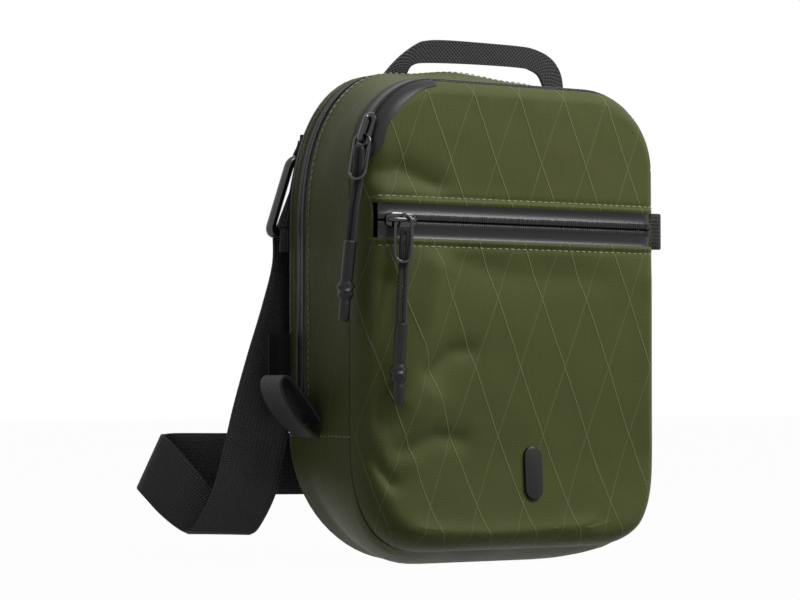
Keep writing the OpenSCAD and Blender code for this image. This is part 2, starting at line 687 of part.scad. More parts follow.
strap_edges = concat(
  [upright([strap_ring_x, strap_ring_y - fold_r + 0.4, strap_ring_low - 9])],
  ring_fold,
  [upright(lie * [-71.5, 47, 143], 0), upright(lie * [-77, 47, 122], 3), upright(lie * [-84.5, 47, 98], 8),
    upright(lie * [-91.5, 46.5, 74], 15), upright(lie * [-97, 46, 52], 24),
    for (e = strap_curl) lie * e,
    for (t = [0 : 0.25 : 1]) level(mix(run_start, run_end, t)),
    level([54, lower_ring_y + low_fold_r + 0.4, lower_ring_z])],
  low_fold,
  [level([lower_ring_x - 9, lower_ring_y - low_fold_r + 0.4, lower_ring_z])]);
strap_steps = 3;
// A smooth curve through four values, at a part t of the way from the second to the third
function through(a, b, c, d, t) =
  0.5 * (2 * b + (c - a) * t + (2 * a - 5 * b + 4 * c - d) * t * t + (3 * b - a - 3 * c + d) * t * t * t);
strap_last = len(strap_edges) - 1;
function edge(i, side) = strap_edges[min(max(i, 0), strap_last)][side];
function edge_at(s, side) =
  let (i = min(floor(s), strap_last - 1))
  through(edge(i - 1, side), edge(i, side), edge(i + 1, side), edge(i + 2, side), s - i);
function strap_section(s) =
  let (left = edge_at(s, 0), right = edge_at(s, 1), a = max(s - 0.1, 0), b = min(s + 0.1, strap_last),
    along = edge_at(b, 0) + edge_at(b, 1) - edge_at(a, 0) - edge_at(a, 1),
    t = unit(cross(along, right - left)) * strap_t / 2)
  [left - t, left + t, right + t, right - t];
module strap() {
  color("black") skin([for (k = [0 : strap_last * strap_steps]) strap_section(k / strap_steps)]);
}

// The lower ring is a rectangle of wire: the strap holds its left bar, the anchor its right one
lower_ring_h = strap_w + 7;
lower_ring_w = 14;
lower_wire = 3.6;
module lower_strap_ring() {
  corners = [for (p = [[0, 1], [1, 1], [1, -1], [0, -1]])
    [lower_ring_x + p.x * lower_ring_w, lower_ring_y, lower_ring_z + p.y * lower_ring_h / 2]];
  color("black") wire_frame(corners, lower_wire, 3);
}
module lower_anchor() {
  color("black") translate([lower_ring_x + lower_ring_w, lower_ring_y, lower_ring_z])
    rotate([0, 90, 0]) mirror([1, 0, 0]) wire_loop(strap_w - 8, lower_wire, 9);
}

// A plain three-bar adjuster on the strap's run behind the bag
adjuster_l = 22;
adjuster_bar = 3;
run_dir = unit(run_end - run_start);
adjuster_at = mix(run_start, run_end, 0.5);
module strap_adjuster() {
  side_z = strap_w / 2 + 0.5 + adjuster_bar / 2;
  off = strap_t / 2 + gap + adjuster_bar / 2;
  bar_x = (adjuster_l - adjuster_bar) / 2;
  color("black") place(adjuster_at, run_dir, [0, 0, 1]) {
    for (side = [-1, 1]) translate([-adjuster_l / 2, -off - adjuster_bar / 2, side * side_z - adjuster_bar / 2])
      cube([adjuster_l, 2 * off + adjuster_bar, adjuster_bar]);
    for (x = [-bar_x, bar_x]) translate([x, off, -side_z]) cylinder(h = 2 * side_z, d = adjuster_bar, $fn = 24);
    translate([0, -off, -side_z]) cylinder(h = 2 * side_z, d = adjuster_bar, $fn = 24);
  }
}

// The handle's webbing stands up behind the back panel's top edge, from the left of the
// middle to the right corner. It folds over along a line through its feet.
handle_y = pad_y + gap;
handle_top = body_h + handle_rise;
handle_low = handle_top - handle_w;
handle_left = -0.2 * body_w;
handle_right = 0.47 * body_w;
handle_foot_left = [handle_left + 9, body_h - 6];
handle_foot_right = [handle_right - 7, body_h - 32];
bend_left = 12;
bend_right = 26;
function arc(c, r, a0, a1, n = 5) = [for (i = [0 : n]) c + r * [cos(mix(a0, a1, i / n)), sin(mix(a0, a1, i / n))]];
module handle_shape() {
  left = handle_left + 27;
  right = handle_right - 27;
  polygon(concat(
    [[handle_left, body_h - 15], [handle_left, body_h - 1], [handle_left + 15, body_h + 12]],
    arc([left, handle_top - bend_left], bend_left, 135, 90),
    arc([right, handle_top - bend_right], bend_right, 90, 25),
    [[handle_right, body_h - 1], [handle_right - 1, body_h - 43], [handle_right - 14, body_h - 39],
      [handle_right - 12, body_h - 3]],
    arc([right - 4, handle_low - bend_right + 5], bend_right - 5, 40, 90),
    arc([left - 4, handle_low - bend_left / 2], bend_left / 2, 90, 160),
    [[handle_left + 17, body_h - 15]]));
}
// The half of the plane above the fold line, or below it
module fold_half(side) {
  along = handle_foot_right - handle_foot_left;
  reach = body_w + body_h;
  translate(handle_foot_left) rotate([0, 0, atan2(along.y, along.x)])
    translate([-reach / 2, side > 0 ? gap / 2 : -reach - gap / 2]) square([2 * reach, reach]);
}
module handle_part(side) {
  color("black") translate([0, handle_y + handle_t, 0]) rotate([90, 0, 0]) linear_extrude(handle_t)
    intersection() {
      handle_shape();
      fold_half(side);
    }
}
module handle() { handle_part(1); }
module handle_tabs() { handle_part(-1); }

base_panel();
main_panel();
back_panel_lower();
front_panel_lower();
front_panel_upper();
divider_panel();
pocket_lining();
main_zip_front_tape();
main_zip_coil();
top_zip_rear_tape();
top_zip_coil();
pocket_zip_upper_tape();
pocket_zip_lower_tape();
pocket_zip_coil();
front_plate();
side_tab();
zip_end_loop();
strap();
lower_strap_ring();
lower_anchor();
main_zip_rear_tape();
rear_strip_panel();
back_panel();
back_foam();
side_label();
upper_anchor();
handle_tabs();
handle();
strap_ring();
strap_adjuster();
front_flap();
top_zip_front_tape();
pocket_slider();
pocket_pull_ring();
pocket_cord();
pocket_grip();
top_slider();
top_pull_ring();
top_cord();
top_grip();
main_slider();
main_pull_ring();
main_cord();
main_grip();
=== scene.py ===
# %% [markdown]
# # A sling bag that stands on its base
# The real bag is sewn from olive laminate fabric, with three coated zips, a webbing handle and a
# shoulder strap. Its hard and main forms come from a CAD model, and this notebook dresses them.
# Everything is given in millimetres in the CAD model's own frame, and MM turns it to metres.

# %% Load the CAD frame
import math

import bpy
import numpy as np
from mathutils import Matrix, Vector
from mathutils.bvhtree import BVHTree


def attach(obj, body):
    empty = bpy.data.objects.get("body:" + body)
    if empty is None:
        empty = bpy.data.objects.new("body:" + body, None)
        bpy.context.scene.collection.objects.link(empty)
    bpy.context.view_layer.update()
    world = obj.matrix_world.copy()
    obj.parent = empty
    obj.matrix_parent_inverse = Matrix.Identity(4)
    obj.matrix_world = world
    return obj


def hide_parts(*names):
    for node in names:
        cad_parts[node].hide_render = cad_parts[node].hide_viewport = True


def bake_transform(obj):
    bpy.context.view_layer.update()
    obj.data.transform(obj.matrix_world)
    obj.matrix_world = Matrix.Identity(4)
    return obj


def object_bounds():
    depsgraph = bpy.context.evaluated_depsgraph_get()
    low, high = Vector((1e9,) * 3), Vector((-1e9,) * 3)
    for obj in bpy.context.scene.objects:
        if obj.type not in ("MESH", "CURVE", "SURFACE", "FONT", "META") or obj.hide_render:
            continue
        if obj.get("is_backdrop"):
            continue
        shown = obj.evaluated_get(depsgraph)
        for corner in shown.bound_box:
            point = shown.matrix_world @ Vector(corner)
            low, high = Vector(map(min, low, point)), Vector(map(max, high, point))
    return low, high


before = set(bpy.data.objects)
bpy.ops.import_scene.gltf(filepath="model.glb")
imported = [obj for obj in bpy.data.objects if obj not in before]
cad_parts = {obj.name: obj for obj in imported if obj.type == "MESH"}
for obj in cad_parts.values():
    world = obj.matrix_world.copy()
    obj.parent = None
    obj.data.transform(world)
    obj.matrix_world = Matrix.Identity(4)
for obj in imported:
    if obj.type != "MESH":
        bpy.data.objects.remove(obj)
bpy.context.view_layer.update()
MM = 0.001
scene = bpy.context.scene

# %% [markdown]
# ## Camera
# A product photograph is taken with a long lens from a low stand. The lens, the turn round the
# bag and the height were worked out from the straight edges of the bag, so they are set first,
# and nothing later moves them.

# %% Camera
LENS, SENSOR = 117.0, 36.0
AZIMUTH, DISTANCE, CAMERA_Z = math.radians(-33), 1256, 82
PAN, TILT = math.radians(1.674), math.radians(2.027)
camera = bpy.data.objects.new("camera", bpy.data.cameras.new("camera"))
scene.collection.objects.link(camera)
scene.camera = camera
camera.data.lens, camera.data.sensor_width, camera.data.sensor_fit = LENS, SENSOR, "AUTO"
camera.data.clip_start, camera.data.clip_end = 0.05, 30
camera.location = Vector((math.sin(AZIMUTH) * DISTANCE, -math.cos(AZIMUTH) * DISTANCE, CAMERA_Z)) * MM
heading = math.radians(90) + AZIMUTH + PAN
aim = Vector((math.cos(heading) * math.cos(TILT), math.sin(heading) * math.cos(TILT), math.sin(TILT)))
camera.rotation_mode = "QUATERNION"
camera.rotation_quaternion = aim.to_track_quat("-Z", "Y")
bpy.context.view_layer.update()
print("camera at", tuple(round(v, 3) for v in camera.location))

# %% [markdown]
# ## Image points
# These are places in the photograph's frame, 800 by 600. Some check where a finished piece shows,
# and the fold points say where the fabric is dented, and are thrown onto the bag by rays.

# %% Image points
FRAME_W, FRAME_H = 800, 600
POINTS = {
    "left": (139, None), "right": (662.6, None), "top": (None, 39.8), "bottom": (None, 560),
    "handle_left_bend": (416, 44), "front_plate": (532.5, 473), "pocket_slider": (404.6, 216.7),
    "pocket_ring": (403.5, 235), "pocket_grip": (398, 362), "top_ring": (358.5, 162),
    "top_grip": (348.5, 280), "side_tab": (655.7, 232), "side_label": (279, 354), "end_loop": (290, 407),
    "strap_ring": (284, 192), "pocket_zip": (512, 226),
}
FILM_POINTS = [(371, 157), (383.6, 144), (387, 128), (396, 113), (410.4, 97), (422, 89.5), (436, 86)]
FOLD_POINTS = {
    "under_top_zip": [(366, 176), (400, 168), (436, 186)],
    "left_bulge": [(436, 268), (426, 330), (404, 400)],
    "left_hollow": [(392, 285), (384, 350), (378, 420)],
    "low_pleat": [(368, 457), (393, 484)],
    "low_swell": [(432, 400), (410, 460)],
    "right_ridge": [(648, 282), (648, 440)],
    "under_pocket": [(462, 262), (520, 276), (600, 280)],
    "short_dent": [(428, 372), (452, 352), (470, 350)],
    "cross_dent": [(402, 452), (436, 436), (462, 440)],
    "base_roll": [(420, 530), (500, 534), (590, 524)],
}


def view_ray(x, y):
    """The ray from the camera through a point of the photograph's frame."""
    long_side = max(FRAME_W, FRAME_H)
    aimed = Vector((x - FRAME_W / 2 + camera.data.shift_x * long_side,
                    FRAME_H / 2 - y + camera.data.shift_y * long_side, -long_side * LENS / SENSOR))
    turned = camera.matrix_world.to_3x3() @ aimed
    return camera.matrix_world.translation.copy(), turned.normalized()


def on_surface(x, y, objects):
    """Where that ray meets these objects, in mm, or the place of theirs nearest to the ray."""
    start, along = view_ray(x, y)
    best = None
    for o in objects:
        verts = [o.matrix_world @ v.co for v in o.data.vertices]
        tree = BVHTree.FromPolygons(verts, [list(p.vertices) for p in o.data.polygons])
        hit, _, _, far = tree.ray_cast(start, along)
        if hit is not None and (best is None or far < best[0]):
            best = (far, hit)
    if best is None:
        found = [o.matrix_world @ v.co for o in objects for v in o.data.vertices]
        best = (0, min(found, key=lambda p: (p - start - along * (p - start).dot(along)).length))
    return np.array(best[1]) / MM


front_nodes = [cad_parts[n] for n in ("front_panel_lower", "front_panel_upper", "front_flap")]
folds_at = {name: [on_surface(*p, front_nodes) for p in pts] for name, pts in FOLD_POINTS.items()}
film_at = [on_surface(*p, front_nodes) for p in FILM_POINTS]
for name, pts in folds_at.items():
    print(name, [(round(p[0]), round(p[2])) for p in pts])

# %% [markdown]
# ## Nodes and materials
# A finish is a small tree of shader nodes. One function adds a node with its settings and links,
# and one turns a colour code as a maker would give it into the linear colour that Blender reads.

# %% Node and colour helpers
def colour(code):
    """An sRGB hex colour as linear values."""
    parts = [int(code[i : i + 2], 16) / 255 for i in (0, 2, 4)]
    return tuple(c / 12.92 if c <= 0.04045 else ((c + 0.055) / 1.055) ** 2.4 for c in parts) + (1.0,)


def add(tree, kind, inputs=(), **settings):
    """Adds a node. An input is a value, or an output socket to link."""
    made = tree.nodes.new(kind)
    for key, value in settings.items():
        setattr(made, key, value)
    for key, value in dict(inputs).items():
        if isinstance(value, bpy.types.NodeSocket):
            tree.links.new(value, made.inputs[key])
        else:
            made.inputs[key].default_value = value
    return made


def finish(name, code, roughness, **shader):
    """A new material with a Principled shader, its node tree and that shader."""
    made = bpy.data.materials.new(name)
    made.use_nodes = True
    tree = made.node_tree
    tree.nodes.clear()
    bsdf = add(tree, "ShaderNodeBsdfPrincipled", {"Base Color": colour(code), "Roughness": roughness})
    for key, value in shader.items():
        bsdf.inputs[key.replace("_", " ")].default_value = value
    add(tree, "ShaderNodeOutputMaterial", {"Surface": bsdf.outputs[0]})
    return made, tree, bsdf


def sums(tree, operation, a, b=0.0, c=0.0):
    """One Math node's result."""
    return add(tree, "ShaderNodeMath", {0: a, 1: b, 2: c}, operation=operation).outputs[0]


def raise_by(tree, bsdf, height, distance):
    """A bump: height is 0 to 1, distance its real height in mm."""
    bump = add(tree, "ShaderNodeBump", {"Height": height, "Distance": distance * MM, "Strength": 1.0})
    tree.links.new(bump.outputs[0], bsdf.inputs["Normal"])


def cloth_place(tree):
    """The piece's own u and v, in metres, as one vector."""
    return add(tree, "ShaderNodeUVMap", uv_map="cloth").outputs[0]


def cloth_uv(tree):
    """The piece's own u and v as two values."""
    parts = add(tree, "ShaderNodeSeparateXYZ", {0: cloth_place(tree)})
    return parts.outputs[0], parts.outputs[1]


def stripes(tree, place, pitch, sharp=1.0):
    """A wave between 0 and 1 along a socket in metres, one crest per pitch in mm."""
    wave = sums(tree, "COSINE", sums(tree, "MULTIPLY", place, 2 * math.pi / (pitch * MM)))
    half = sums(tree, "MULTIPLY_ADD", wave, 0.5, 0.5)
    return half if sharp == 1 else sums(tree, "POWER", half, sharp)


def crossed(tree, u, v, pitch, sharp=1.0):
    """Two families of stripes that cross at a slant, as in a weave or a braid."""
    return sums(tree, "MULTIPLY", stripes(tree, sums(tree, "ADD", u, v), pitch, sharp),
                stripes(tree, sums(tree, "SUBTRACT", u, v), pitch, sharp))


def tinted(tree, bsdf, part, low, high):
    """The base colour runs from one colour code to another by a value between 0 and 1."""
    tint = add(tree, "ShaderNodeMix", {0: part, 6: colour(low), 7: colour(high)}, data_type="RGBA")
    tree.links.new(tint.outputs[2], bsdf.inputs["Base Color"])


print("black webbing's colour in linear:", colour("131415")[:3])

# %% [markdown]
# ## Laminate
# The shell is a laminated ripstop: a thin plain weave, with thick threads laid over it in long
# diamonds 25.4 mm wide under a clear film. The diamonds are two families of slanted lines worked
# out from the cloth's own u and v. The weave is far finer than a pixel, so it is drawn at 1.3 mm.

# %% Laminate finish
DIAMOND, SLANT = 25.4, math.tan(math.radians(21.5))


def laminate(name, code, line_code):
    made, tree, bsdf = finish(name, code, 0.5, Specular_IOR_Level=0.1)
    u, v = cloth_uv(tree)
    warp = add(tree, "ShaderNodeTexNoise", {"Vector": cloth_place(tree), "Scale": 28.0, "Detail": 1.0})
    bend = sums(tree, "MULTIPLY_ADD", warp.outputs[0], 0.0012, -0.0006)
    lines = []
    for side, strong in ((1, 0.55), (-1, 1.0)):
        place = sums(tree, "ADD", sums(tree, "MULTIPLY_ADD", v, side * SLANT, u), bend)
        part = sums(tree, "FRACT", sums(tree, "DIVIDE", place, DIAMOND * MM))
        away = sums(tree, "ABSOLUTE", sums(tree, "SUBTRACT", part, 0.5))
        lines.append(add(tree, "ShaderNodeMapRange", {"Value": away, "From Min": 0.006, "From Max": 0.022,
                                                      "To Min": strong, "To Max": 0.0},
                         interpolation_type="SMOOTHSTEP").outputs[0])
    line = sums(tree, "MAXIMUM", *lines)
    weave = crossed(tree, u, v, 1.3)
    fine = add(tree, "ShaderNodeTexNoise", {"Vector": cloth_place(tree), "Scale": 700.0, "Detail": 2.0})
    crinkle = add(tree, "ShaderNodeTexVoronoi",
                  {"Vector": cloth_place(tree), "Scale": 42.0, "Smoothness": 0.6}, feature="SMOOTH_F1")
    grain = sums(tree, "MULTIPLY_ADD", weave, 0.3, sums(tree, "MULTIPLY", fine.outputs[0], 0.2))
    height = sums(tree, "MULTIPLY_ADD", line, 0.7, grain)
    height = sums(tree, "MULTIPLY_ADD", crinkle.outputs[0], 2.6, height)
    raise_by(tree, bsdf, height, 0.42)
    shade = sums(tree, "MULTIPLY_ADD", weave, 0.26, sums(tree, "MULTIPLY", line, 0.34))
    tinted(tree, bsdf, shade, code, line_code)
    return made


olive = laminate("olive_ripstop_laminate", "434823", "858a62")
print("laminate diamonds of", DIAMOND, "mm")

# %% [markdown]
# ## Webbing, cord, zips and trim
# Webbing is woven polyester: fine cross ribs with two flatter stripes along it. The coated zips
# are satin polyurethane with a faint grain. Rings and sliders are gloss black enamel, the pull
# ends are moulded rubber, and the cords are braided.

# %% Black finishes
def webbing():
    """Strap webbing. Its ribs are drawn about twice their real 0.5 mm apart, so that they show."""
    rib, along, code = 1.1, 0.9, "191a1b"
    made, tree, bsdf = finish("woven_polyester_webbing", code, 0.55, Sheen_Weight=0.08, Sheen_Roughness=0.4,
                              Specular_IOR_Level=0.25)
    u, v = cloth_uv(tree)
    slant = sums(tree, "MULTIPLY_ADD", sums(tree, "PINGPONG", u, along * MM), 0.6, v)
    rib_high = stripes(tree, slant, rib)
    grain = stripes(tree, u, along * 2)
    raise_by(tree, bsdf, sums(tree, "MULTIPLY_ADD", grain, 0.35, sums(tree, "MULTIPLY", rib_high, 0.65)), 0.3)
    # The troughs between the ribs are painted darker: painted shade between the ribs.
    tinted(tree, bsdf, rib_high, "0a0a0b", code)
    return made


def grained(name, code, roughness, grain, height, **shader):
    """A moulded or coated surface with an even grain, its size in mm."""
    made, tree, bsdf = finish(name, code, roughness, **shader)
    place = add(tree, "ShaderNodeTexCoord").outputs["Object"]
    noise = add(tree, "ShaderNodeTexNoise", {"Vector": place, "Scale": 1 / (grain * MM), "Detail": 2.0})
    raise_by(tree, bsdf, noise.outputs[0], height)
    return made


strap_web = webbing()
zip_film = grained("polyurethane_coated_tape", "0a0b0c", 0.4, 1.2, 0.08, Specular_IOR_Level=0.36)
zip_ridge = grained("embossed_zip_film", "0d0e10", 0.36, 1.0, 0.03, Specular_IOR_Level=0.4)
enamel = grained("gloss_black_enamel", "08090a", 0.16, 3.0, 0.01, Coat_Weight=0.4, Coat_Roughness=0.1)
rubber = grained("moulded_rubber", "0a0a0b", 0.4, 2.0, 0.06, Specular_IOR_Level=0.28)
acetal = grained("moulded_acetal", "0a0b0b", 0.36, 1.0, 0.04, Specular_IOR_Level=0.3)
thread = grained("spun_polyester_thread", "8d916c", 0.7, 0.5, 0.05)
# The label's own black, also used for the painted shade line along the front seam.
black_label_and_seam_shade = grained("black_label_cloth_and_painted_seam_shade", "101112", 0.7, 0.5, 0.05, Specular_IOR_Level=0.15)
lining = grained("plain_woven_lining", "4a4c4b", 0.7, 0.8, 0.1)
foam = grained("closed_cell_foam", "6a6b6c", 0.9, 1.2, 0.15)


def woven(name, code, roughness, specular, pitch, sharp, height):
    """Strands or pebbles that cross at a slant, pitch mm apart on the piece's own u and v."""
    made, tree, bsdf = finish(name, code, roughness, Sheen_Weight=0.1, Specular_IOR_Level=specular)
    raise_by(tree, bsdf, crossed(tree, *cloth_uv(tree), pitch, sharp), height)
    return made


def air_mesh():
    """Spacer mesh on the back: small round holes 3.4 mm apart in a black knit."""
    made, tree, bsdf = finish("black_spacer_mesh", "1b1c1d", 0.75, Sheen_Weight=0.3)
    holes = crossed(tree, *cloth_uv(tree), 3.4, 0.8)
    open_part = add(tree, "ShaderNodeMapRange", {"Value": holes, "From Min": 0.35, "From Max": 0.6},
                    interpolation_type="SMOOTHSTEP").outputs[0]
    raise_by(tree, bsdf, sums(tree, "SUBTRACT", 1.0, open_part), 0.7)
    # The holes are painted near black: painted shade inside the holes.
    tinted(tree, bsdf, open_part, "222325", "060606")
    return made


handle_web = woven("basket_weave_webbing", "141516", 0.5, 0.3, 2.0, 0.7, 0.5)
cord_braid = woven("braided_cord", "0f1011", 0.6, 0.25, 1.6, 0.6, 0.4)
back_mesh = air_mesh()
print(len(bpy.data.materials), "materials")

# %% [markdown]
# ## Meshes from points
# Fabric panels are grids of points on the outline of the bag. A panel gets its wall by a second
# grid inside the first, and its own u and v, in metres, from the lengths along the grid.

# %% Panel and mesh helpers
def mesh_piece(name, verts, faces, material, uv=None, crease=35):
    """A mesh object from points in mm. uv is one pair for each point."""
    mesh = bpy.data.meshes.new(name)
    places = [tuple(v) for v in np.asarray(verts, float) * MM]
    mesh.from_pydata(places, [], [tuple(map(int, f)) for f in faces])
    if uv is not None:
        layer = mesh.uv_layers.new(name="cloth")
        loops = np.empty(len(mesh.loops), dtype=np.int32)
        mesh.loops.foreach_get("vertex_index", loops)
        layer.data.foreach_set("uv", np.asarray(uv, np.float32)[loops].ravel())
    mesh.shade_smooth()
    mesh.set_sharp_from_angle(angle=math.radians(crease))
    mesh.materials.append(material)
    made = bpy.data.objects.new(name, mesh)
    scene.collection.objects.link(made)
    return made


def grid_normals(grid):
    """Outward normals of a grid whose rows times its columns point outward."""
    cross = np.cross(np.gradient(grid, axis=0), np.gradient(grid, axis=1))
    return cross / np.maximum(np.linalg.norm(cross, axis=2, keepdims=True), 1e-9)


def grid_uv(grid, turned=False, start=0.0):
    """Lengths along the grid in metres, from its middle column; start is v of the first row, in mm."""
    step = np.linalg.norm(np.diff(grid, axis=1), axis=2)
    u = np.concatenate([np.zeros((len(grid), 1)), np.cumsum(step, axis=1)], axis=1)
    middle = grid.shape[1] // 2
    u = u - u[:, middle : middle + 1]
    down = np.linalg.norm(np.diff(grid[:, middle], axis=0), axis=1)
    v = (start + np.concatenate([[0], np.cumsum(down)]))[:, None] * np.ones_like(u)
    uv = np.stack([v, u] if turned else [u, v], axis=2) * MM
    return uv.reshape(-1, 2)


def panel(name, grid, thick, material, uv=None, keep=None, crease=35):
    """A closed wall between a grid and the same grid thick mm inside it. keep says which cells stay."""
    grid = np.asarray(grid, float)
    rows, cols = grid.shape[:2]
    n = rows * cols
    verts = np.concatenate([grid.reshape(-1, 3), (grid - thick * grid_normals(grid)).reshape(-1, 3)])
    outer = []
    for i in range(rows - 1):
        for j in range(cols - 1):
            if keep is None or keep(i, j):
                k = i * cols + j
                outer.append((k, k + cols, k + cols + 1, k + 1))
    edges = {(f[a], f[(a + 1) % 4]) for f in outer for a in range(4)}
    rim = [(b, a, a + n, b + n) for a, b in edges if (b, a) not in edges]
    inner = [tuple(n + k for k in reversed(f)) for f in outer]
    used = sorted({k for f in outer for k in f})
    used += [n + k for k in used]
    place = {k: i for i, k in enumerate(used)}
    uv = grid_uv(grid) if uv is None else uv
    uv = np.concatenate([uv, uv])[used]
    faces = [tuple(place[k] for k in f) for f in outer + inner + rim]
    return mesh_piece(name, verts[used], faces, material, uv, crease)


def stacked(rings):
    """Points and faces of a closed solid through rings of as many points, from low to high."""
    n, count = len(rings[0]), len(rings)
    faces = [(r * n + i, r * n + (i + 1) % n, (r + 1) * n + (i + 1) % n, (r + 1) * n + i)
             for r in range(count - 1) for i in range(n)]
    faces += [tuple(reversed(range(n))), tuple((count - 1) * n + i for i in range(n))]
    return [p for ring in rings for p in ring], faces


def faced_out(grid):
    """The grid, with its rows turned round if its normals point into the bag."""
    grid = np.array(grid)
    away = grid.mean(axis=(0, 1)) - np.array([0, 6, 100])
    return grid[::-1] if np.dot(grid_normals(grid).mean(axis=(0, 1)), away) < 0 else grid


def sewn(made, body, nodes=()):
    """The piece rides a body and stands for CAD nodes."""
    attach(made, body)
    if nodes:
        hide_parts(*nodes)
    print(made.name, len(made.data.polygons), "faces on", body)
    return made


# %% [markdown]
# ## The bag's outlines
# The shell's outline changes from the rear, with its tall round corners, to the front seam. These
# functions repeat the rules of the CAD source at a finer step, so that the fabric lies on it. Only
# base_z differs: ahead of the middle it rises up to 1.7 mm above the solid's foot.

# %% Outline rules
W, H, ARCH, GUSSET, BOOT, WALL, LAP, GAP = 166, 237, 3, 42.8, 64, 1.6, 0.5, 0.3
REAR_W, REAR_H, BASE_W, FRONT_H, CORNER = 50, 77, 62, 229.5, 40
RISE, DEPTH, ROUND, CROWN, FALL = 8, 17, 10, 2, 6.6
SEAM_Y, ZIP_Y, ZIP_W = -GUSSET / 2, GUSSET / 2, 9.8
ZIP_MID, STRIP_Y, BACK_Y, PAD_T = ZIP_Y + ZIP_W / 2, ZIP_Y + ZIP_W, ZIP_Y + ZIP_W + 3.8, 3.2
POCKET_Z, WINDOW_W, WINDOW_L, ZIP_TURN = 160.5, 16, 154, 46
ZIP_CENTRE, REAR_POWER, LOW_POWER = 0.78 * ZIP_TURN, 0.88, 0.68
CORNER_X, CORNER_Z = W / 2 - CORNER, FRONT_H - CORNER
RAD = math.pi / 180
QUARTER = np.linspace(0, math.pi / 2, 19)


def held(v):
    return min(max(v, 0.0), 1.0)


def mix(a, b, t):
    return a + (b - a) * t


def swell(v, power):
    return held(v) ** power


def upper_line(y, off, lift=0.0):
    """The outline over the base panel, from right to left."""
    f = held((ZIP_Y - y) / GUSSET)
    w = W / 2 - off
    a, b = mix(REAR_W, CORNER, f) - off, mix(REAR_H, CORNER, f) - off
    top, arch = mix(H, FRONT_H, f) - off, ARCH * (1 - f)
    xc, zc = w - a, top - b
    right = [(w, z) for z in np.linspace(BOOT + lift, zc, 22)[:-1]]
    p = mix(REAR_POWER, 1, f)
    right += [(xc + a * swell(math.cos(t), p), zc + b * swell(math.sin(t), p)) for t in QUARTER]
    middle = [(x, top + arch * (1 + math.cos(math.pi * x / xc)) / 2) for x in np.linspace(xc, -xc, 24)[1:-1]]
    line = right + middle + [(-x, z) for x, z in reversed(right)]
    return np.array([(x, y, z) for x, z in line])


def base_z(y):
    return RISE * held((8 - y) / (8 - SEAM_Y + FALL)) ** 2


def seam_at(z):
    return SEAM_Y - FALL * held((BOOT - z) / (BOOT - RISE)) ** 2


def lower_line(f, off, flat_y=None):
    """The base outline, from right to left, a part f of the way to the front seam."""
    right = []
    for t in QUARTER:
        y = flat_y
        if flat_y is None:
            y = mix(BACK_Y, seam_at(BOOT - (BOOT - RISE) * swell(math.sin(t), LOW_POWER)), f)
        part = held((ZIP_Y - y) / GUSSET)
        a, b, p = mix(BASE_W, CORNER, part), BOOT - base_z(y), mix(1, LOW_POWER, part)
        x = W / 2 - a + (a - off) * swell(math.cos(t), p)
        right.append((x, y, BOOT - (b - off) * swell(math.sin(t), p)))
    x, y, z = right[-1]
    middle = [(s, y, z) for s in np.linspace(x, -x, 22)[1:-1]]
    return np.array(right + middle + [(-p[0], p[1], p[2]) for p in reversed(right)])


def edge_inset(phi, off=0.0):
    return ROUND - (ROUND - off) * math.cos(phi)


def edge_depth(phi, off=0.0):
    return GAP + (DEPTH - GAP - off) * math.sin(phi)


def half_x(z, d):
    if z > CORNER_Z:
        return CORNER_X + (CORNER - d) * math.sqrt(1 - held((z - CORNER_Z) / (CORNER - d)) ** 2)
    if z < BOOT:
        low = held((BOOT - z) / (BOOT - RISE - d))
        return CORNER_X + (CORNER - d) * (1 - low ** (2 / LOW_POWER)) ** (LOW_POWER / 2)
    return W / 2 - d


def bulge(x, z):
    return CROWN * (1 - (2 * x / W) ** 4) * (1 - ((z - FRONT_H / 2) / (FRONT_H / 2)) ** 2)


print("front face from z", RISE, "to", FRONT_H, "mm")

# %% [markdown]
# ## Folds in the front
# Laminate is stiff, so it dents in broad facets rather than in soft waves. Each fold is a ridge or
# a hollow along a line through points thrown onto the front by the camera's rays.

# %% Fold relief
# Each fold's line, how far it stands out, in mm, and its width.
FOLDS = [("under_top_zip", -3.2, 6), ("left_bulge", 3.2, 7), ("left_hollow", -3.4, 6), ("low_pleat", -3.2, 3.4),
         ("low_swell", 3.0, 7), ("right_ridge", 1.0, 5), ("under_pocket", -1.3, 8), ("short_dent", -2.2, 4.5),
         ("cross_dent", -2.4, 5), ("base_roll", 1.2, 3.5)]


def relief(x, z):
    """How far the front stands out, in mm, at a place on it."""
    total = 0.22 * math.sin(x / 19 + z / 31) + 0.18 * math.sin(x / 11 - z / 23 + 2)
    for name, height, width in FOLDS:
        line = folds_at[name]
        near = 1e9
        for a, b in zip(line, line[1:]):
            ax, az, bx, bz = a[0], a[2], b[0], b[2]
            t = held(((x - ax) * (bx - ax) + (z - az) * (bz - az)) / ((bx - ax) ** 2 + (bz - az) ** 2 + 1e-9))
            near = min(near, math.hypot(x - mix(ax, bx, t), z - mix(az, bz, t)))
        total += height * math.exp(-((near / width) ** 1.5))
    return total


def calm(x, z):
    """Folds fade out towards the sewn edges and the pocket zip."""
    edge = held((W / 2 - abs(x)) / 6)
    return edge * held(abs(z - POCKET_Z) / 9 - 0.9) * held((z - RISE - 2) / 8) * held((FRONT_H - z) / 14)


def hem(x, z):
    """The folded hem along both sides of the pocket zip's window, and the stitched dip beside it."""
    away = abs(z - POCKET_Z)
    return 0.55 * math.exp(-(((away - 9.3) / 0.9) ** 2)) - 0.35 * math.exp(-(((away - 11.6) / 0.8) ** 2))


EDGE_PARTS = [0, 0.09, 0.18, 0.27, 0.36, 0.46, 0.57, 0.66, 0.75, 0.84, 0.92, 1]
FLAT_PARTS = list(np.linspace(1, -1, 60)[1:-1])


def cloth_y(x, z, phi):
    """The front cloth's depth where its edge has turned by phi from side to front, folds included."""
    return (seam_at(z) - edge_depth(phi) - math.sin(phi) * bulge(x, z)
            - math.sin(phi) ** 2 * (calm(x, z) * relief(x, z) + hem(x, z)))


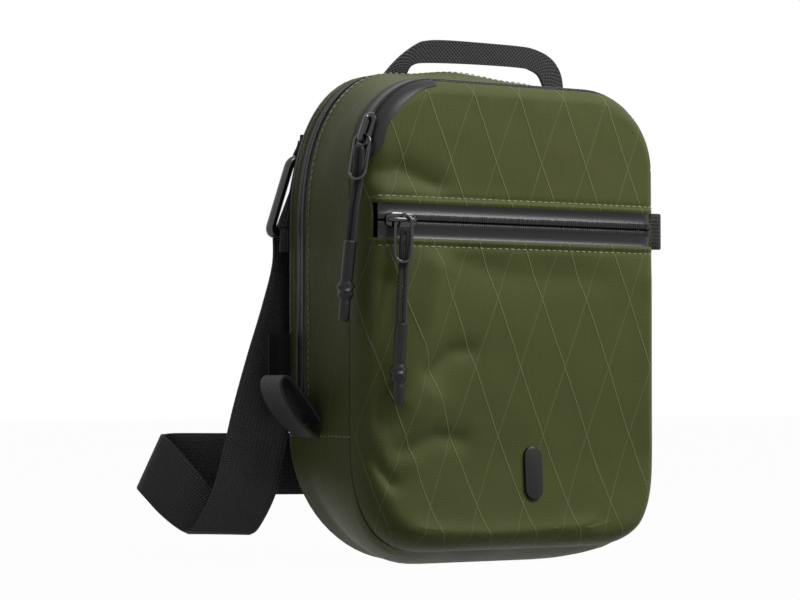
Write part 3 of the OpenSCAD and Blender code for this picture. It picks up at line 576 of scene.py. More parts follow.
def front_row(z, turn, start):
    """One row of the front, from right to left, turned by start at its ends and by turn between."""
    side = []
    for g in EDGE_PARTS:
        phi = mix(start, turn, g)
        side.append((half_x(z, edge_inset(phi)) - 4 * math.cos(turn) * g, phi))
    flat = [(g * side[-1][0], turn) for g in FLAT_PARTS]
    return [(x, cloth_y(x, z, phi), z) for x, phi in side + flat + [(-x, phi) for x, phi in reversed(side)]]


def edge_turn(x):
    """How far the front has turned at x: a right angle, but for its rounded edges."""
    return math.acos(held(1 - (W / 2 - abs(x)) / ROUND)) if abs(x) > W / 2 - ROUND else math.pi / 2


def front_y(x, z):
    """The front face's depth at a place on its straight part."""
    return cloth_y(x, z, edge_turn(x))


print("deepest fold:", min(f[1] for f in FOLDS), "mm")

# %% [markdown]
# ## Shell panels
# The shell is cut as in the real pattern: a base panel that wraps the foot, the main panel over
# the sides and top, a thin strip behind the main zip, and the front in two parts with the pocket
# zip's window between them. The front's upper part is one cloth from the pocket zip to the top
# zip.

# %% Base, main and rear panels
rows = np.concatenate([np.linspace(0, 0.9, 20), [0.95, 0.985, 1]])
base = np.array([lower_line(f, 0.0) for f in rows])
base_panel = panel("base_panel_cloth", base, WALL, olive, grid_uv(base, turned=True))
sewn(base_panel, "bag", ["base_panel"])

rows = [SEAM_Y, SEAM_Y + 0.5, SEAM_Y + 1.5, *np.linspace(SEAM_Y + 3, ZIP_Y - 2, 14), ZIP_Y - 0.7, ZIP_Y]
dips = [1.3, 0.6, 0.15] + [0] * 14 + [0.15, 0.5]
main = np.array([upper_line(y, LAP + d) for y, d in zip(rows, dips)])
step = np.arange(main.shape[1])
across = np.linspace(0, 1, len(rows))[:, None]
soft = 0.55 * np.sin(step / 4.1 + 2.2 * across) ** 2 + 0.35 * np.sin(step / 7.7 - 3 * across + 1) ** 2
main = main - grid_normals(main) * (soft * np.sin(math.pi * across) ** 0.8)[:, :, None]
SIDE_WALL = WALL - 0.4
main_panel = panel("main_panel_cloth", main, SIDE_WALL, olive, grid_uv(main, turned=True))
sewn(main_panel, "bag", ["main_panel"])

rows, dips = [STRIP_Y, STRIP_Y + 0.5, STRIP_Y + 1.9, BACK_Y - 0.6, BACK_Y], [0.5, 0.1, 0, 0.1, 0.6]
strip = np.array([upper_line(y, LAP + d, GAP) for y, d in zip(rows, dips)])
rear_strip = panel("rear_strip_cloth", strip, SIDE_WALL, olive, grid_uv(strip, turned=True))
sewn(rear_strip, "back_flap", ["rear_strip_panel"])

# %% Front panels
low_z, high_z = POCKET_Z - WINDOW_W / 2, POCKET_Z + WINDOW_W / 2
turns = [0, 0.06, 0.15, *(t * RAD for t in (15, 24, 33, 42, 51, 60, 68, 76, 83))]
rows = [front_row(RISE + edge_inset(t), max(t, 0.02), 0.0) for t in turns]
heights = [*np.linspace(RISE + ROUND, low_z - 5, 70), *np.linspace(low_z - 4.4, low_z - 0.4, 9), low_z]
window_row = len(turns) + len(heights) - 1
rows += [front_row(z, math.pi / 2, 0.0) for z in [*heights, *np.linspace(low_z + 2, POCKET_Z, 4)]]
lower = np.array(rows)
left, right = 6, lower.shape[1] - 8


def below_window(i, j):
    return i < window_row or j < left or j > right


front_lower = panel("front_lower_cloth", lower, WALL, olive, grid_uv(lower), keep=below_window)
sewn(front_lower, "bag", ["front_panel_lower"])

heights = [*np.linspace(POCKET_Z, high_z, 5), *np.linspace(high_z + 0.5, high_z + 4.5, 9),
           *np.linspace(high_z + 6, CORNER_Z, 10), *np.linspace(CORNER_Z + 1.6, CORNER_Z + 23, 14)]
rows = [front_row(z, math.pi / 2, ZIP_TURN * RAD if z > CORNER_Z else 0.0) for z in heights]
rows += [front_row(FRONT_H - edge_inset(t * RAD), t * RAD, ZIP_TURN * RAD)
         for t in (89, 84, 79, 74, 69, 64, 59, 54, 50, 46)]
upper = np.array(rows)


def above_window(i, j):
    return i >= 4 or j < left or j > right


v_start = np.linalg.norm(np.diff(lower[:, lower.shape[1] // 2], axis=0), axis=1).sum()
front_upper = panel("front_upper_cloth", upper, WALL, olive, grid_uv(upper, start=v_start), keep=above_window)
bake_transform(front_upper)
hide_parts("front_panel_upper", "front_flap")
print("front_upper_cloth", len(front_upper.data.polygons), "faces")

# %% [markdown]
# ## Padded back
# The back is a foam pad under spacer mesh, sewn all round, with three soft channels. It is one
# pad from rings of points drawn in from the outline.

# %% Back pad
outline = np.concatenate([upper_line(BACK_Y, LAP), lower_line(0, LAP, BACK_Y)[1:-1][::-1]])[:, [0, 2]]
centre = np.array([0, 118.0])
CHANNELS, CHANNEL_W, CHANNEL_DEPTH, PAD_SEAT = (78, 128, 178), 2.6, 1.5, 0.05
parts = [1, 1, 0.995, 0.975, 0.95, 0.92, *np.linspace(0.88, 0.06, 18)]
lift = [0, 0.5, 0.78, 0.95, 1.0, 1.04, *np.linspace(1.06, 1.2, 18)]
verts, uv = [], []
for s, h in zip(parts, lift):
    for x, z in centre + (outline - centre) * s:
        channel = sum(math.exp(-((z - c - 0.05 * abs(x)) / CHANNEL_W) ** 2) for c in CHANNELS)
        channel = channel * held((0.93 - s) * 20)
        verts.append((x, BACK_Y + PAD_SEAT + PAD_T * h - CHANNEL_DEPTH * channel, z))
        uv.append((x * MM, z * MM))
n, rings = len(outline), len(parts)
faces = [(r * n + i, (r + 1) * n + i, (r + 1) * n + (i + 1) % n, r * n + (i + 1) % n)
         for r in range(rings - 1) for i in range(n)]
verts += [(centre[0], BACK_Y + PAD_T * 1.2, centre[1]), (centre[0], BACK_Y + PAD_SEAT, centre[1])]
uv += [tuple(centre * MM)] * 2
faces += [((rings - 1) * n + i, rings * n, (rings - 1) * n + (i + 1) % n) for i in range(n)]
faces += [((i + 1) % n, rings * n + 1, i) for i in range(n)]
back_pad = mesh_piece("back_pad", verts, faces, back_mesh, uv)
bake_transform(back_pad)
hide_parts("back_panel", "back_panel_lower")
print("back_pad", len(faces), "faces")

# %% [markdown]
# ## Zips
# Reverse coil zips under a polyurethane film: two flat tapes that rise to a centre line, where the
# film shows the coil's turns as small ridges. Each half is a strip swept along its line, and the
# halves stay apart so that each opens with its own side.

# %% Tape profiles
# Places across a half, from its sewn edge to the coil, with their depth below its line.
PROFILE = [(0.0, 0.1), (0.12, 0.55), (0.3, 0.6), (0.52, 0.45), (0.62, 0.05), (0.72, -0.25), (0.9, -0.3),
           (0.97, 0.2), (1.0, 0.8)]
TAPE_T, FILM_T = 0.8, 0.5


def zip_half(name, line, edge, middle, body, base_off, coil=(), turned=True):
    """line(place, off) gives points along the zip; edge and middle are its places across."""
    grid = faced_out([line(mix(edge, middle, t), base_off + d) for t, d in PROFILE])
    made = panel(name, grid, TAPE_T, zip_film, grid_uv(grid, turned=turned), crease=50)
    sewn(made, body, [name + "_tape", *coil])


def main_line(y, off):
    return upper_line(y, off, 0.0 if y < ZIP_MID else GAP)


def top_zip_line(phi, off):
    d, y = edge_inset(phi, off), SEAM_Y - edge_depth(phi, off)
    turn = np.linspace(0, math.pi / 2, 22)
    right = [(CORNER_X + (CORNER - d) * math.cos(t), y, CORNER_Z + (CORNER - d) * math.sin(t)) for t in turn]
    middle = [(x, y, FRONT_H - d) for x in np.linspace(CORNER_X, -CORNER_X, 24)[1:-1]]
    return np.array(right + middle + [(-p[0], p[1], p[2]) for p in reversed(right)])


def pocket_line(z, off):
    points = []
    for x in np.linspace(WINDOW_L / 2 - 0.1, -WINDOW_L / 2 + 0.1, 64):
        d = W / 2 - abs(x)
        s = math.sqrt(1 - (1 - held((d - off) / (ROUND - off))) ** 2)
        points.append((x, SEAM_Y - (DEPTH - off) * s - s * bulge(x, z), z))
    return np.array(points)


zip_half("main_zip_front", main_line, ZIP_Y, ZIP_MID - 0.1, "bag", LAP + 0.5, ["main_zip_coil"])
zip_half("main_zip_rear", main_line, STRIP_Y, ZIP_MID + 0.1, "back_flap", LAP + 0.5)
zip_half("top_zip_rear", top_zip_line, 0.0, (ZIP_CENTRE - 0.4) * RAD, "bag", 0.5, ["top_zip_coil"])
zip_half("top_zip_front", top_zip_line, ZIP_TURN * RAD, (ZIP_CENTRE + 0.4) * RAD, "front_flap", 0.5)
zip_half("pocket_zip_lower", pocket_line, low_z, POCKET_Z - 0.1, "bag", 0.6, turned=False)
zip_half("pocket_zip_upper", pocket_line, high_z, POCKET_Z + 0.1, "bag", 0.6, ["pocket_zip_coil"], False)


# %% [markdown]
# ## Film at the top zip's left end
# Below the top zip's slider the coated tape widens over the front's corner. The wide part follows
# the corner between the zip and a line through points thrown onto the front.

# %% Film flare
def corner_point(turn, inset, off):
    """A place on the front's left top corner, inset mm in from its edge and off mm above the cloth."""
    x, z = -CORNER_X + (CORNER - inset) * math.cos(turn), CORNER_Z + (CORNER - inset) * math.sin(turn)
    phi = math.acos(held(1 - inset / ROUND))
    side = off * math.cos(phi)
    return x + side * math.cos(turn), cloth_y(x, z, phi) - off * math.sin(phi), z + side * math.sin(turn)


seen = sorted((math.atan2(p[2] - CORNER_Z, p[0] + CORNER_X),
               CORNER - math.hypot(p[0] + CORNER_X, p[2] - CORNER_Z)) for p in film_at)
print("film's edge:", [(round(t / RAD), round(d, 1)) for t, d in seen])
turns = np.linspace(seen[0][0], seen[-1][0], 30)
ends = np.interp(turns, [t for t, _ in seen], [d for _, d in seen])
zip_edge = edge_inset(ZIP_TURN * RAD) - 0.4
FLARE_LIFT, FLARE_LEAST = 0.3, 0.2
grid = faced_out([[corner_point(t, mix(zip_edge, max(e, zip_edge + FLARE_LEAST), g), FLARE_LIFT)
                   for t, e in zip(turns, ends)] for g in np.linspace(0, 1, 14)])
flare = panel("top_zip_film_flare", grid, FILM_T, zip_film, grid_uv(grid), crease=50)
sewn(flare, "front_flap", ())

# %% [markdown]
# ## Rows that repeat
# Stitches and coil ridges repeat along a line at an even pitch. A Geometry Nodes tree turns each
# line of points into a curve, spaces points along it by the pitch, stands a small shape on each,
# turned along the line and up from the cloth, and makes the whole a plain mesh.

# %% Row tree
def row_tree(kind):
    """kind is ball for stitches, block for ridges."""
    tree = bpy.data.node_groups.new("row_of_" + kind + "s", "GeometryNodeTree")
    for socket, sort in (("Geometry", "Geometry"), ("Pitch", "Float"), ("Size", "Vector"), ("Seed", "Int"),
                         ("Material", "Material")):
        tree.interface.new_socket(socket, in_out="INPUT", socket_type="NodeSocket" + sort)
    tree.interface.new_socket("Geometry", in_out="OUTPUT", socket_type="NodeSocketGeometry")
    given = add(tree, "NodeGroupInput")
    curve = add(tree, "GeometryNodeMeshToCurve", {"Mesh": given.outputs["Geometry"]})
    spaced = add(tree, "GeometryNodeResampleCurve", {"Curve": curve.outputs[0]}, mode="LENGTH")
    tree.links.new(given.outputs["Pitch"], spaced.inputs["Length"])
    tangent = add(tree, "GeometryNodeInputTangent").outputs[0]
    along = add(tree, "FunctionNodeAlignRotationToVector", {"Vector": tangent}, axis="X")
    up = add(tree, "GeometryNodeInputNamedAttribute", {"Name": "up"}, data_type="FLOAT_VECTOR")
    turned = add(tree, "FunctionNodeAlignRotationToVector",
                 {"Rotation": along.outputs[0], "Vector": up.outputs[0]}, axis="Z", pivot_axis="X")
    if kind == "ball":
        shape = add(tree, "GeometryNodeMeshUVSphere", {"Segments": 8, "Rings": 5, "Radius": 0.5})
    else:
        shape = add(tree, "GeometryNodeMeshCube", {"Size": (1, 1, 1)})
    smooth = add(tree, "GeometryNodeSetShadeSmooth",
                 {"Geometry": shape.outputs[0], "Shade Smooth": kind == "ball"})
    vary = add(tree, "FunctionNodeRandomValue", {2: 0.9, 3: 1.08, "Seed": given.outputs["Seed"]},
               data_type="FLOAT")
    size = add(tree, "ShaderNodeVectorMath", {0: given.outputs["Size"], "Scale": vary.outputs[1]},
               operation="SCALE")
    stood = add(tree, "GeometryNodeInstanceOnPoints",
                {"Points": spaced.outputs[0], "Instance": smooth.outputs[0], "Rotation": turned.outputs[0],
                 "Scale": size.outputs[0]})
    real = add(tree, "GeometryNodeRealizeInstances", {"Geometry": stood.outputs[0]})
    painted = add(tree, "GeometryNodeSetMaterial",
                  {"Geometry": real.outputs[0], "Material": given.outputs["Material"]})
    add(tree, "NodeGroupOutput", {"Geometry": painted.outputs[0]})
    return tree


ROW_TREES = {kind: row_tree(kind) for kind in ("ball", "block")}
ROW_SEED = 3


def row_piece(name, kind, lines, pitch, size, material, body):
    """One mesh of small shapes along lines, each a list of points and of ups in mm."""
    points = np.concatenate([np.asarray(p, float) for p, _ in lines]) * MM
    ups = np.concatenate([np.asarray(u, float) for _, u in lines])
    edges, first = [], 0
    for p, _ in lines:
        edges += [(first + i, first + i + 1) for i in range(len(p) - 1)]
        first += len(p)
    mesh = bpy.data.meshes.new(name + "_path")
    mesh.from_pydata([tuple(p) for p in points], edges, [])
    held_up = mesh.attributes.new("up", "FLOAT_VECTOR", "POINT")
    held_up.data.foreach_set("vector", ups.astype(np.float32).ravel())
    path = bpy.data.objects.new(name + "_path", mesh)
    scene.collection.objects.link(path)
    modifier = path.modifiers.new("row", "NODES")
    modifier.node_group = ROW_TREES[kind]
    sockets = {s.name: s.identifier for s in ROW_TREES[kind].interface.items_tree if s.in_out == "INPUT"}
    modifier[sockets["Pitch"]] = pitch * MM
    modifier[sockets["Size"]] = tuple(v * MM for v in size)
    modifier[sockets["Seed"]] = ROW_SEED
    modifier[sockets["Material"]] = material
    graph = bpy.context.evaluated_depsgraph_get()
    plain = bpy.data.meshes.new_from_object(path.evaluated_get(graph), depsgraph=graph)
    path.modifiers.remove(modifier)
    bpy.data.objects.remove(path)
    made = bpy.data.objects.new(name, plain)
    scene.collection.objects.link(made)
    if not plain.materials:
        plain.materials.append(material)
    sewn(made, body)


def surface_row(grid, row, lift):
    """A line and its ups from one row of a grid, lift mm off it."""
    ups = grid_normals(grid)[row]
    return grid[row] + lift * ups, ups


print("trees:", [t.name for t in ROW_TREES.values()])

# %% Zip ridges
RIDGE_PITCH, RIDGE_L = 1.15, 0.55


def ridges(name, line, place, off, step, wide, high, body):
    """Ridges along one line of a zip, or along more where place holds more."""
    lines = [surface_row(faced_out([line(p - step, off), line(p, off), line(p + step, off)]), 1, 0.0)
             for p in place]
    row_piece(name, "block", lines, RIDGE_PITCH, (RIDGE_L, wide, high), zip_ridge, body)


mid, side = ZIP_CENTRE * RAD, 4.6 * RAD
ridges("main_zip_ridges_front", main_line, [ZIP_MID - 1.45], LAP + 0.45, 0.5, 2.1, 0.7, "bag")
ridges("main_zip_ridges_rear", main_line, [ZIP_MID + 1.45], LAP + 0.45, 0.5, 2.1, 0.7, "back_flap")
ridges("top_zip_ridges_rear", top_zip_line, [mid - side], 0.4, 0.02, 1.5, 0.6, "bag")
ridges("top_zip_ridges_front", top_zip_line, [mid + side], 0.4, 0.02, 1.5, 0.6, "front_flap")
ridges("pocket_zip_ridges", pocket_line, [POCKET_Z - 1.75, POCKET_Z + 1.75], 0.5, 0.5, 2.3, 0.7, "bag")

# %% [markdown]
# ## Stitches
# Seams on the real bag are topstitched with a light olive thread that sinks a little into the
# laminate. Each stitch is a small stretched ball, half below the cloth, one every 3.4 mm.

# %% Topstitching
STITCH_PITCH, STITCH_SIZE, STITCH_LIFT = 3.4, (2.5, 0.62, 0.5), 0.12


def cloth_line(points, ups):
    points, ups = np.asarray(points, float), np.asarray(ups, float)
    return points + STITCH_LIFT * ups, ups


def front_line(z):
    """A stitch line across the front at one height."""
    xs = np.linspace(-76.5, 78.5, 70)
    ups = [(math.copysign(math.cos(edge_turn(x)), x), -math.sin(edge_turn(x)), 0) for x in xs]
    return cloth_line([(x, front_y(x, z), z) for x in xs], ups)


def boot_line(side):
    """A stitch line along one side, where the base panel ends."""
    ys = np.linspace(BACK_Y - 1, SEAM_Y + 1, 20)
    return cloth_line([(side * W / 2, y, BOOT - 2.6) for y in ys], [(side, 0, 0)] * 20)


beside_zip = np.array([upper_line(ZIP_Y - 3.2 + d, LAP) for d in (-0.5, 0, 0.5)])
bag_lines = [surface_row(beside_zip, 1, 0.1), front_line(high_z + 3.2), front_line(low_z - 3.6),
             boot_line(-1), boot_line(1)]
row_piece("olive_topstitch", "ball", bag_lines, STITCH_PITCH, STITCH_SIZE, thread, "bag")

# %% [markdown]
# ## Smooth tubes and wires
# Rings, cords and rubber ends are round all along, so they are swept: rings of points follow a
# line and keep their twist from one to the next.

# %% Tube helper
def smooth_path(points, per=8, closed=False):
    """A Catmull-Rom curve through points in mm."""
    p = np.asarray(points, float)
    n = len(p)
    spans = n if closed else n - 1
    at = (lambda i: p[i % n]) if closed else (lambda i: p[min(max(i, 0), n - 1)])
    found = []
    for i in range(spans):
        a, b, c, d = at(i - 1), at(i), at(i + 1), at(i + 2)
        square, cube = 2 * a - 5 * b + 4 * c - d, 3 * b - a - 3 * c + d
        found += [0.5 * (2 * b + (c - a) * t + square * t**2 + cube * t**3) for t in np.arange(per) / per]
    if not closed:
        found.append(p[-1])
    return np.array(found)


def tube_mesh(path, radius, sides=12, closed=False):
    """Points, faces and uv of a tube. radius is a number or a function of place (0 to 1) and turn."""
    path = np.asarray(path, float)
    n = len(path)
    along = np.roll(path, -1, 0) - np.roll(path, 1, 0) if closed else np.gradient(path, axis=0)
    along /= np.linalg.norm(along, axis=1, keepdims=True)
    side = np.cross(along[0], (0.31, 0.2, 0.93) if abs(along[0][2]) < 0.9 else (1, 0.2, 0))
    side /= np.linalg.norm(side)
    frames = []
    for t in along:
        side = side - t * side.dot(t)
        side /= np.linalg.norm(side)
        frames.append((side.copy(), np.cross(t, side)))
    twist = 0.0
    if closed:
        last = frames[-1][0] - along[0] * frames[-1][0].dot(along[0])
        twist = math.atan2(last.dot(frames[0][1]), last.dot(frames[0][0]))
    far = np.concatenate([[0], np.cumsum(np.linalg.norm(np.diff(path, axis=0), axis=1))])
    verts, uv = [], []
    for i, (a, b) in enumerate(frames):
        for k in range(sides):
            angle = 2 * math.pi * k / sides - twist * i / n
            r = radius(i / (n - 1), angle) if callable(radius) else radius
            verts.append(path[i] + r * (math.cos(angle) * a + math.sin(angle) * b))
            uv.append((k / sides * 2 * math.pi * (1 if callable(radius) else radius) * MM, far[i] * MM))
    faces = [(i * sides + k, i * sides + (k + 1) % sides,
              (i + 1) % n * sides + (k + 1) % sides, (i + 1) % n * sides + k)
             for i in range(n if closed else n - 1) for k in range(sides)]
    if not closed:
        faces += [tuple(reversed(range(sides))), tuple((n - 1) * sides + k for k in range(sides))]
    return verts, faces, uv


def tube(name, path, radius, material, body=None, nodes=(), material_slot=None, **shape):
    verts, faces, uv = tube_mesh(path, radius, **shape)
    made = mesh_piece(name, verts, faces, material, uv)
    return sewn(made, body, nodes) if body else made


def joined(name, parts, material):
    """Several (verts, faces, uv) as one mesh."""
    verts, faces, uv = [], [], []
    for v, f, t in parts:
        faces += [tuple(k + len(verts) for k in face) for face in f]
        verts += list(v)
        uv += list(t)
    return mesh_piece(name, verts, faces, material, uv)


def unit(v):
    v = np.asarray(v, float)
    return v / np.linalg.norm(v)


print("a 2.4 mm cord has", len(tube_mesh([(0, 0, 0), (0, 0, 1)], 1.2)[1]), "faces on a span")

# %% [markdown]
# ## Sliders, rings, cords and rubber ends
# Each zip has a die-cast slider with a bridge, a wire ring round the bridge, a doubled cord round
# the ring and a rubber tube over the cord's knot. The three sets are alike, so each part is made
# once in its own small frame and then stood in its place. The slider, ring and rubber end each
# ride a body of their own.

# %% Pull parts
SLIDER_L, SLIDER_PLATE_W, ROD_Z, ROD_R = 16, 7, 5.9, 1.15
RING_DROP, RING_HALF, RING_WIRE, CORD_RUN, CORD_RISE, CORD_R, GRIP_L = 21.5, 3.75, 1.5, 29, 14.5, 1.2, 36


def placed(points, at, u, n):
    """Small-frame points in the bag's frame: X lies along u and Z along n."""
    u, n = unit(u), unit(n)
    return np.asarray(at, float) + np.asarray(points, float) @ np.array([u, np.cross(n, u), n])


def slider_parts():
    """A plate with a narrow nose, side walls that turn down, and the bridge."""
    turn = np.linspace(0, 2 * math.pi, 33)[:-1]
    shape = [(math.copysign(abs(math.cos(t)) ** 0.55, math.cos(t)) * SLIDER_L / 2,
              math.copysign(abs(math.sin(t)) ** 0.6, math.sin(t)) * SLIDER_PLATE_W / 2) for t in turn]
    levels = [(-0.7, 0.97), (0.3, 1.0), (1.7, 1.0), (2.25, 0.95), (2.5, 0.84)]
    verts, faces = stacked([[(x * s, y * s * (1 - 0.012 * x), z) for x, y in shape] for z, s in levels])
    bridge = smooth_path([(-6.6, 0, 1.2), (-6.7, 0, 4.6), (-6.0, 0, 5.7), (-4, 0, ROD_Z), (0, 0, ROD_Z),
                          (2.6, 0, ROD_Z), (4.4, 0, 5.6), (5.2, 0, 4.2), (5.4, 0, 1.2)], 4)
    return [(verts, faces, [(0, 0)] * len(verts)), tube_mesh(bridge, ROD_R)]


def ring_path():
    top = [(RING_HALF * math.cos(t), RING_HALF * (math.sin(t) - 1), 0) for t in np.linspace(0, math.pi, 17)]
    low = [(RING_HALF * math.cos(t), RING_HALF * (1 + math.sin(t)) - RING_DROP, 0)
           for t in np.linspace(math.pi, 2 * math.pi, 17)]
    return top + [(-RING_HALF, -9, 0), (-RING_HALF, -12, 0)] + low + [(RING_HALF, -12, 0), (RING_HALF, -9, 0)]


def cord_line():
    """Both strands rise behind the ring's bar, spread inside the ring and turn round under its top."""
    top = CORD_RISE
    side = [(1.3, 0, -29), (1.3, 0, -22), (1.3, 0, -16), (1.3, 0.6, -10), (1.25, 1.6, -5), (1.2, 2.1, -1.5),
            (1.2, 2.0, 0), (1.25, 1.5, 2.5), (1.3, 0.8, top * 0.45), (1.3, 0.4, top * 0.7),
            (1.1, 0.2, top * 0.92)]
    return [(-x, y, z) for x, y, z in side] + [(0, 0.2, top)] + side[::-1]


def grip_radius(place, angle):
    """The tube is even, swells with pinched folds over the knot, and ends a little thinner."""
    ends = min(1, 0.8 + place * 14) * min(1, 0.82 + (1 - place) * 9)
    knot = math.exp(-(((place - 0.62) / 0.085) ** 4))
    fold = 0.34 * math.sin(2 * angle + 40 * place) + 0.22 * math.sin(3 * angle - 62 * place + 1)
    waist = -sum(deep * math.exp(-(((place - at) / 0.02) ** 2)) for at, deep in ((0.755, 0.35), (0.49, 0.3)))
    return (2.85 - 0.35 * held((place - 0.7) * 8) + knot * (1.05 + fold) + waist) * ends


def pull(name, slider_at, slider_u, slider_n, ring_at, ring_u, ring_n, bar_at, cord_u, cord_up):
    """One zip's slider, ring, cord and rubber end; the slider, ring and rubber end each ride a body."""
    slider = joined(name + "_slider_cast",
                    [(placed(v, slider_at, slider_u, slider_n), f, t) for v, f, t in slider_parts()], enamel)
    sewn(slider, name + "_slider", [name + "_slider"])
    ring = placed(smooth_path(ring_path(), 1, True), ring_at, ring_u, ring_n)
    tube(name + "_ring_wire", ring, RING_WIRE / 2, enamel, name + "_ring", [name + "_pull_ring"],
         "black_metal", sides=14, closed=True)
    path = placed(smooth_path(cord_line(), 4), bar_at, cord_u, cord_up)
    braid = tube(name + "_braid", path, CORD_R, cord_braid)
    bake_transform(braid)
    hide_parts(name + "_cord")
    wobble = [(0.4 * math.sin(9 * s) * held((s - 0.45) * 6), 0.3 * math.sin(13 * s) * held((s - 0.45) * 6),
               -CORD_RUN + 0.8 - s * (GRIP_L + 0.8)) for s in np.linspace(0, 1, 60)]
    end = tube(name + "_rubber_end", placed(wobble, bar_at, cord_u, cord_up), grip_radius, rubber,
               name + "_cord", [name + "_grip"], "grip_rubber", sides=20)


# %% Pocket, top and main pulls
pocket_at = np.array([-67.0, SEAM_Y - (DEPTH - 0.8) - bulge(0, POCKET_Z) + 0.1, POCKET_Z])
ring_turn = -34 * RAD
pocket_dir = np.array([math.cos(ring_turn), math.sin(ring_turn), 0])
pocket_ring_at = pocket_at + [-1.4, -ROD_Z, 2.2]
cord_up = unit((0.05, 0, 1))
pull("pocket", pocket_at, (1, 0, 0), (0, -1, 0), pocket_ring_at, pocket_dir, np.cross(pocket_dir, (0, 0, 1)),
     pocket_ring_at - [0, 0, RING_DROP], unit(np.cross(np.cross(cord_up, pocket_dir), cord_up)), cord_up)

turn, mid = 161 * RAD, ZIP_CENTRE * RAD
out, along = np.array([math.cos(turn), 0, math.sin(turn)]), np.array([math.sin(turn), 0, -math.cos(turn)])
normal = math.cos(mid) * out + math.sin(mid) * np.array([0, -1, 0])
top_at = np.array([-CORNER_X, SEAM_Y - edge_depth(mid), CORNER_Z])
top_at = top_at + (CORNER - edge_inset(mid)) * out + 0.35 * normal
hang = np.array([-0.26, -0.14, -0.95])
hang = unit(hang - hang.dot(normal) * normal)
top_ring_at = top_at - 3.5 * along + 3.45 * normal
wire_dir = unit(np.cross(-hang, normal))
cord_up = unit((0.035, -0.13, 0.99))
pull("top", top_at, along, normal, top_ring_at, wire_dir, np.cross(wire_dir, -hang),
     top_ring_at + RING_DROP * hang, unit(np.cross(np.cross(cord_up, wire_dir), cord_up)), cord_up)

main_at = np.array([W / 2 - LAP - 0.8, ZIP_MID, BOOT + SLIDER_L / 2 + 7])
main_ring_at = main_at + [3.45, 0, 1]
hang = np.array([math.sin(8 * RAD), 0, -math.cos(8 * RAD)])
bar_at = main_ring_at + RING_DROP * hang
tilt = math.acos((bar_at[2] - 2) / (CORD_RUN + GRIP_L))
pull("main", main_at, (0, 0, 1), (1, 0, 0), main_ring_at, (0, 1, 0), np.cross((0, 1, 0), -hang), bar_at,
     (0, math.cos(tilt), math.sin(tilt)), (0, -math.sin(tilt), math.cos(tilt)))

# %% [markdown]
# ## Strap
# The shoulder strap is 30 mm webbing. It folds over the strap ring, hangs down, curls on the
# ground beside the bag and runs behind it to the lower ring. It is one band between two edge
# lines, cut in two at the back flap's fold.

# %% Strap rails
RING_X, RING_Y, RING_LOW, STRAP_W, STRAP_T = 11.5 - W / 2, BACK_Y + PAD_T + GAP + 4.2, 158, 30, 1.6
LOW_X, LOW_Y, LOW_Z = W / 2 - 22, BACK_Y + PAD_T + 4.4, BOOT - 18
# The strap folds round each ring at the wire's radius, a gap and half its own thickness.
FOLD_R, LOW_FOLD_R = 2.4 + 0.4 + 0.8, 0.8 + 0.3 + 1.8


def upright(p, turn=0):
    across = STRAP_W / 2 * np.array([math.cos(turn * RAD), -math.sin(turn * RAD), 0])
    return [np.array(p) - across, np.array(p) + across]


def level(p):
    return [np.array(p) - (0, 0, STRAP_W / 2), np.array(p) + (0, 0, STRAP_W / 2)]


run_start, run_end = np.array([-75, 66, 47]), np.array([LOW_X - 16, LOW_Y + 5.4, LOW_Z])
rails = [upright((RING_X, RING_Y - FOLD_R + 0.4, RING_LOW - 9))]
rails += [upright((RING_X, RING_Y + FOLD_R * math.cos(t * RAD), RING_LOW + FOLD_R * math.sin(t * RAD)))
          for t in (180, 135, 90, 45, 0)]
rails += [upright((-71.5, 47, 143)), upright((-77, 47, 122), 3), upright((-84.5, 47, 98), 8),
          upright((-91.5, 46.5, 74), 15), upright((-97, 46, 52), 24)]
rails += [[np.array(a), np.array(b)] for a, b in (
    ((-114.8, 54.3, 35), (-88.8, 37.4, 35)), ((-119.6, 58.6, 22), (-93.6, 41.7, 21)),
    ((-122.3, 62.5, 15.5), (-97.4, 46.3, 14.6)), ((-121.6, 71, 15), (-100, 58, 17.8)),
    ((-125, 76, 18), (-104.5, 63.5, 29)), ((-130.5, 80.5, 24), (-113.5, 69, 42)),
    ((-134.7, 84.5, 30), (-121.7, 75.5, 54)), ((-137, 89, 34.5), (-126.5, 82.5, 61)),
    ((-133.5, 94.5, 34.5), (-123, 88.5, 61.5)), ((-124, 93.5, 33.5), (-116, 89, 62)),
    ((-104, 81, 32.5), (-101, 79.5, 62)))]
rails += [level(mix(run_start, run_end, t)) for t in (0, 0.25, 0.5, 0.75, 1)]
rails += [level((54, LOW_Y + LOW_FOLD_R + 0.4, LOW_Z))]
rails += [level((LOW_X + LOW_FOLD_R * math.cos(t * RAD), LOW_Y + LOW_FOLD_R * math.sin(t * RAD), LOW_Z))
          for t in (90, 45, 0, -45, -90)]
rails += [level((LOW_X - 9, LOW_Y - LOW_FOLD_R + 0.4, LOW_Z))]


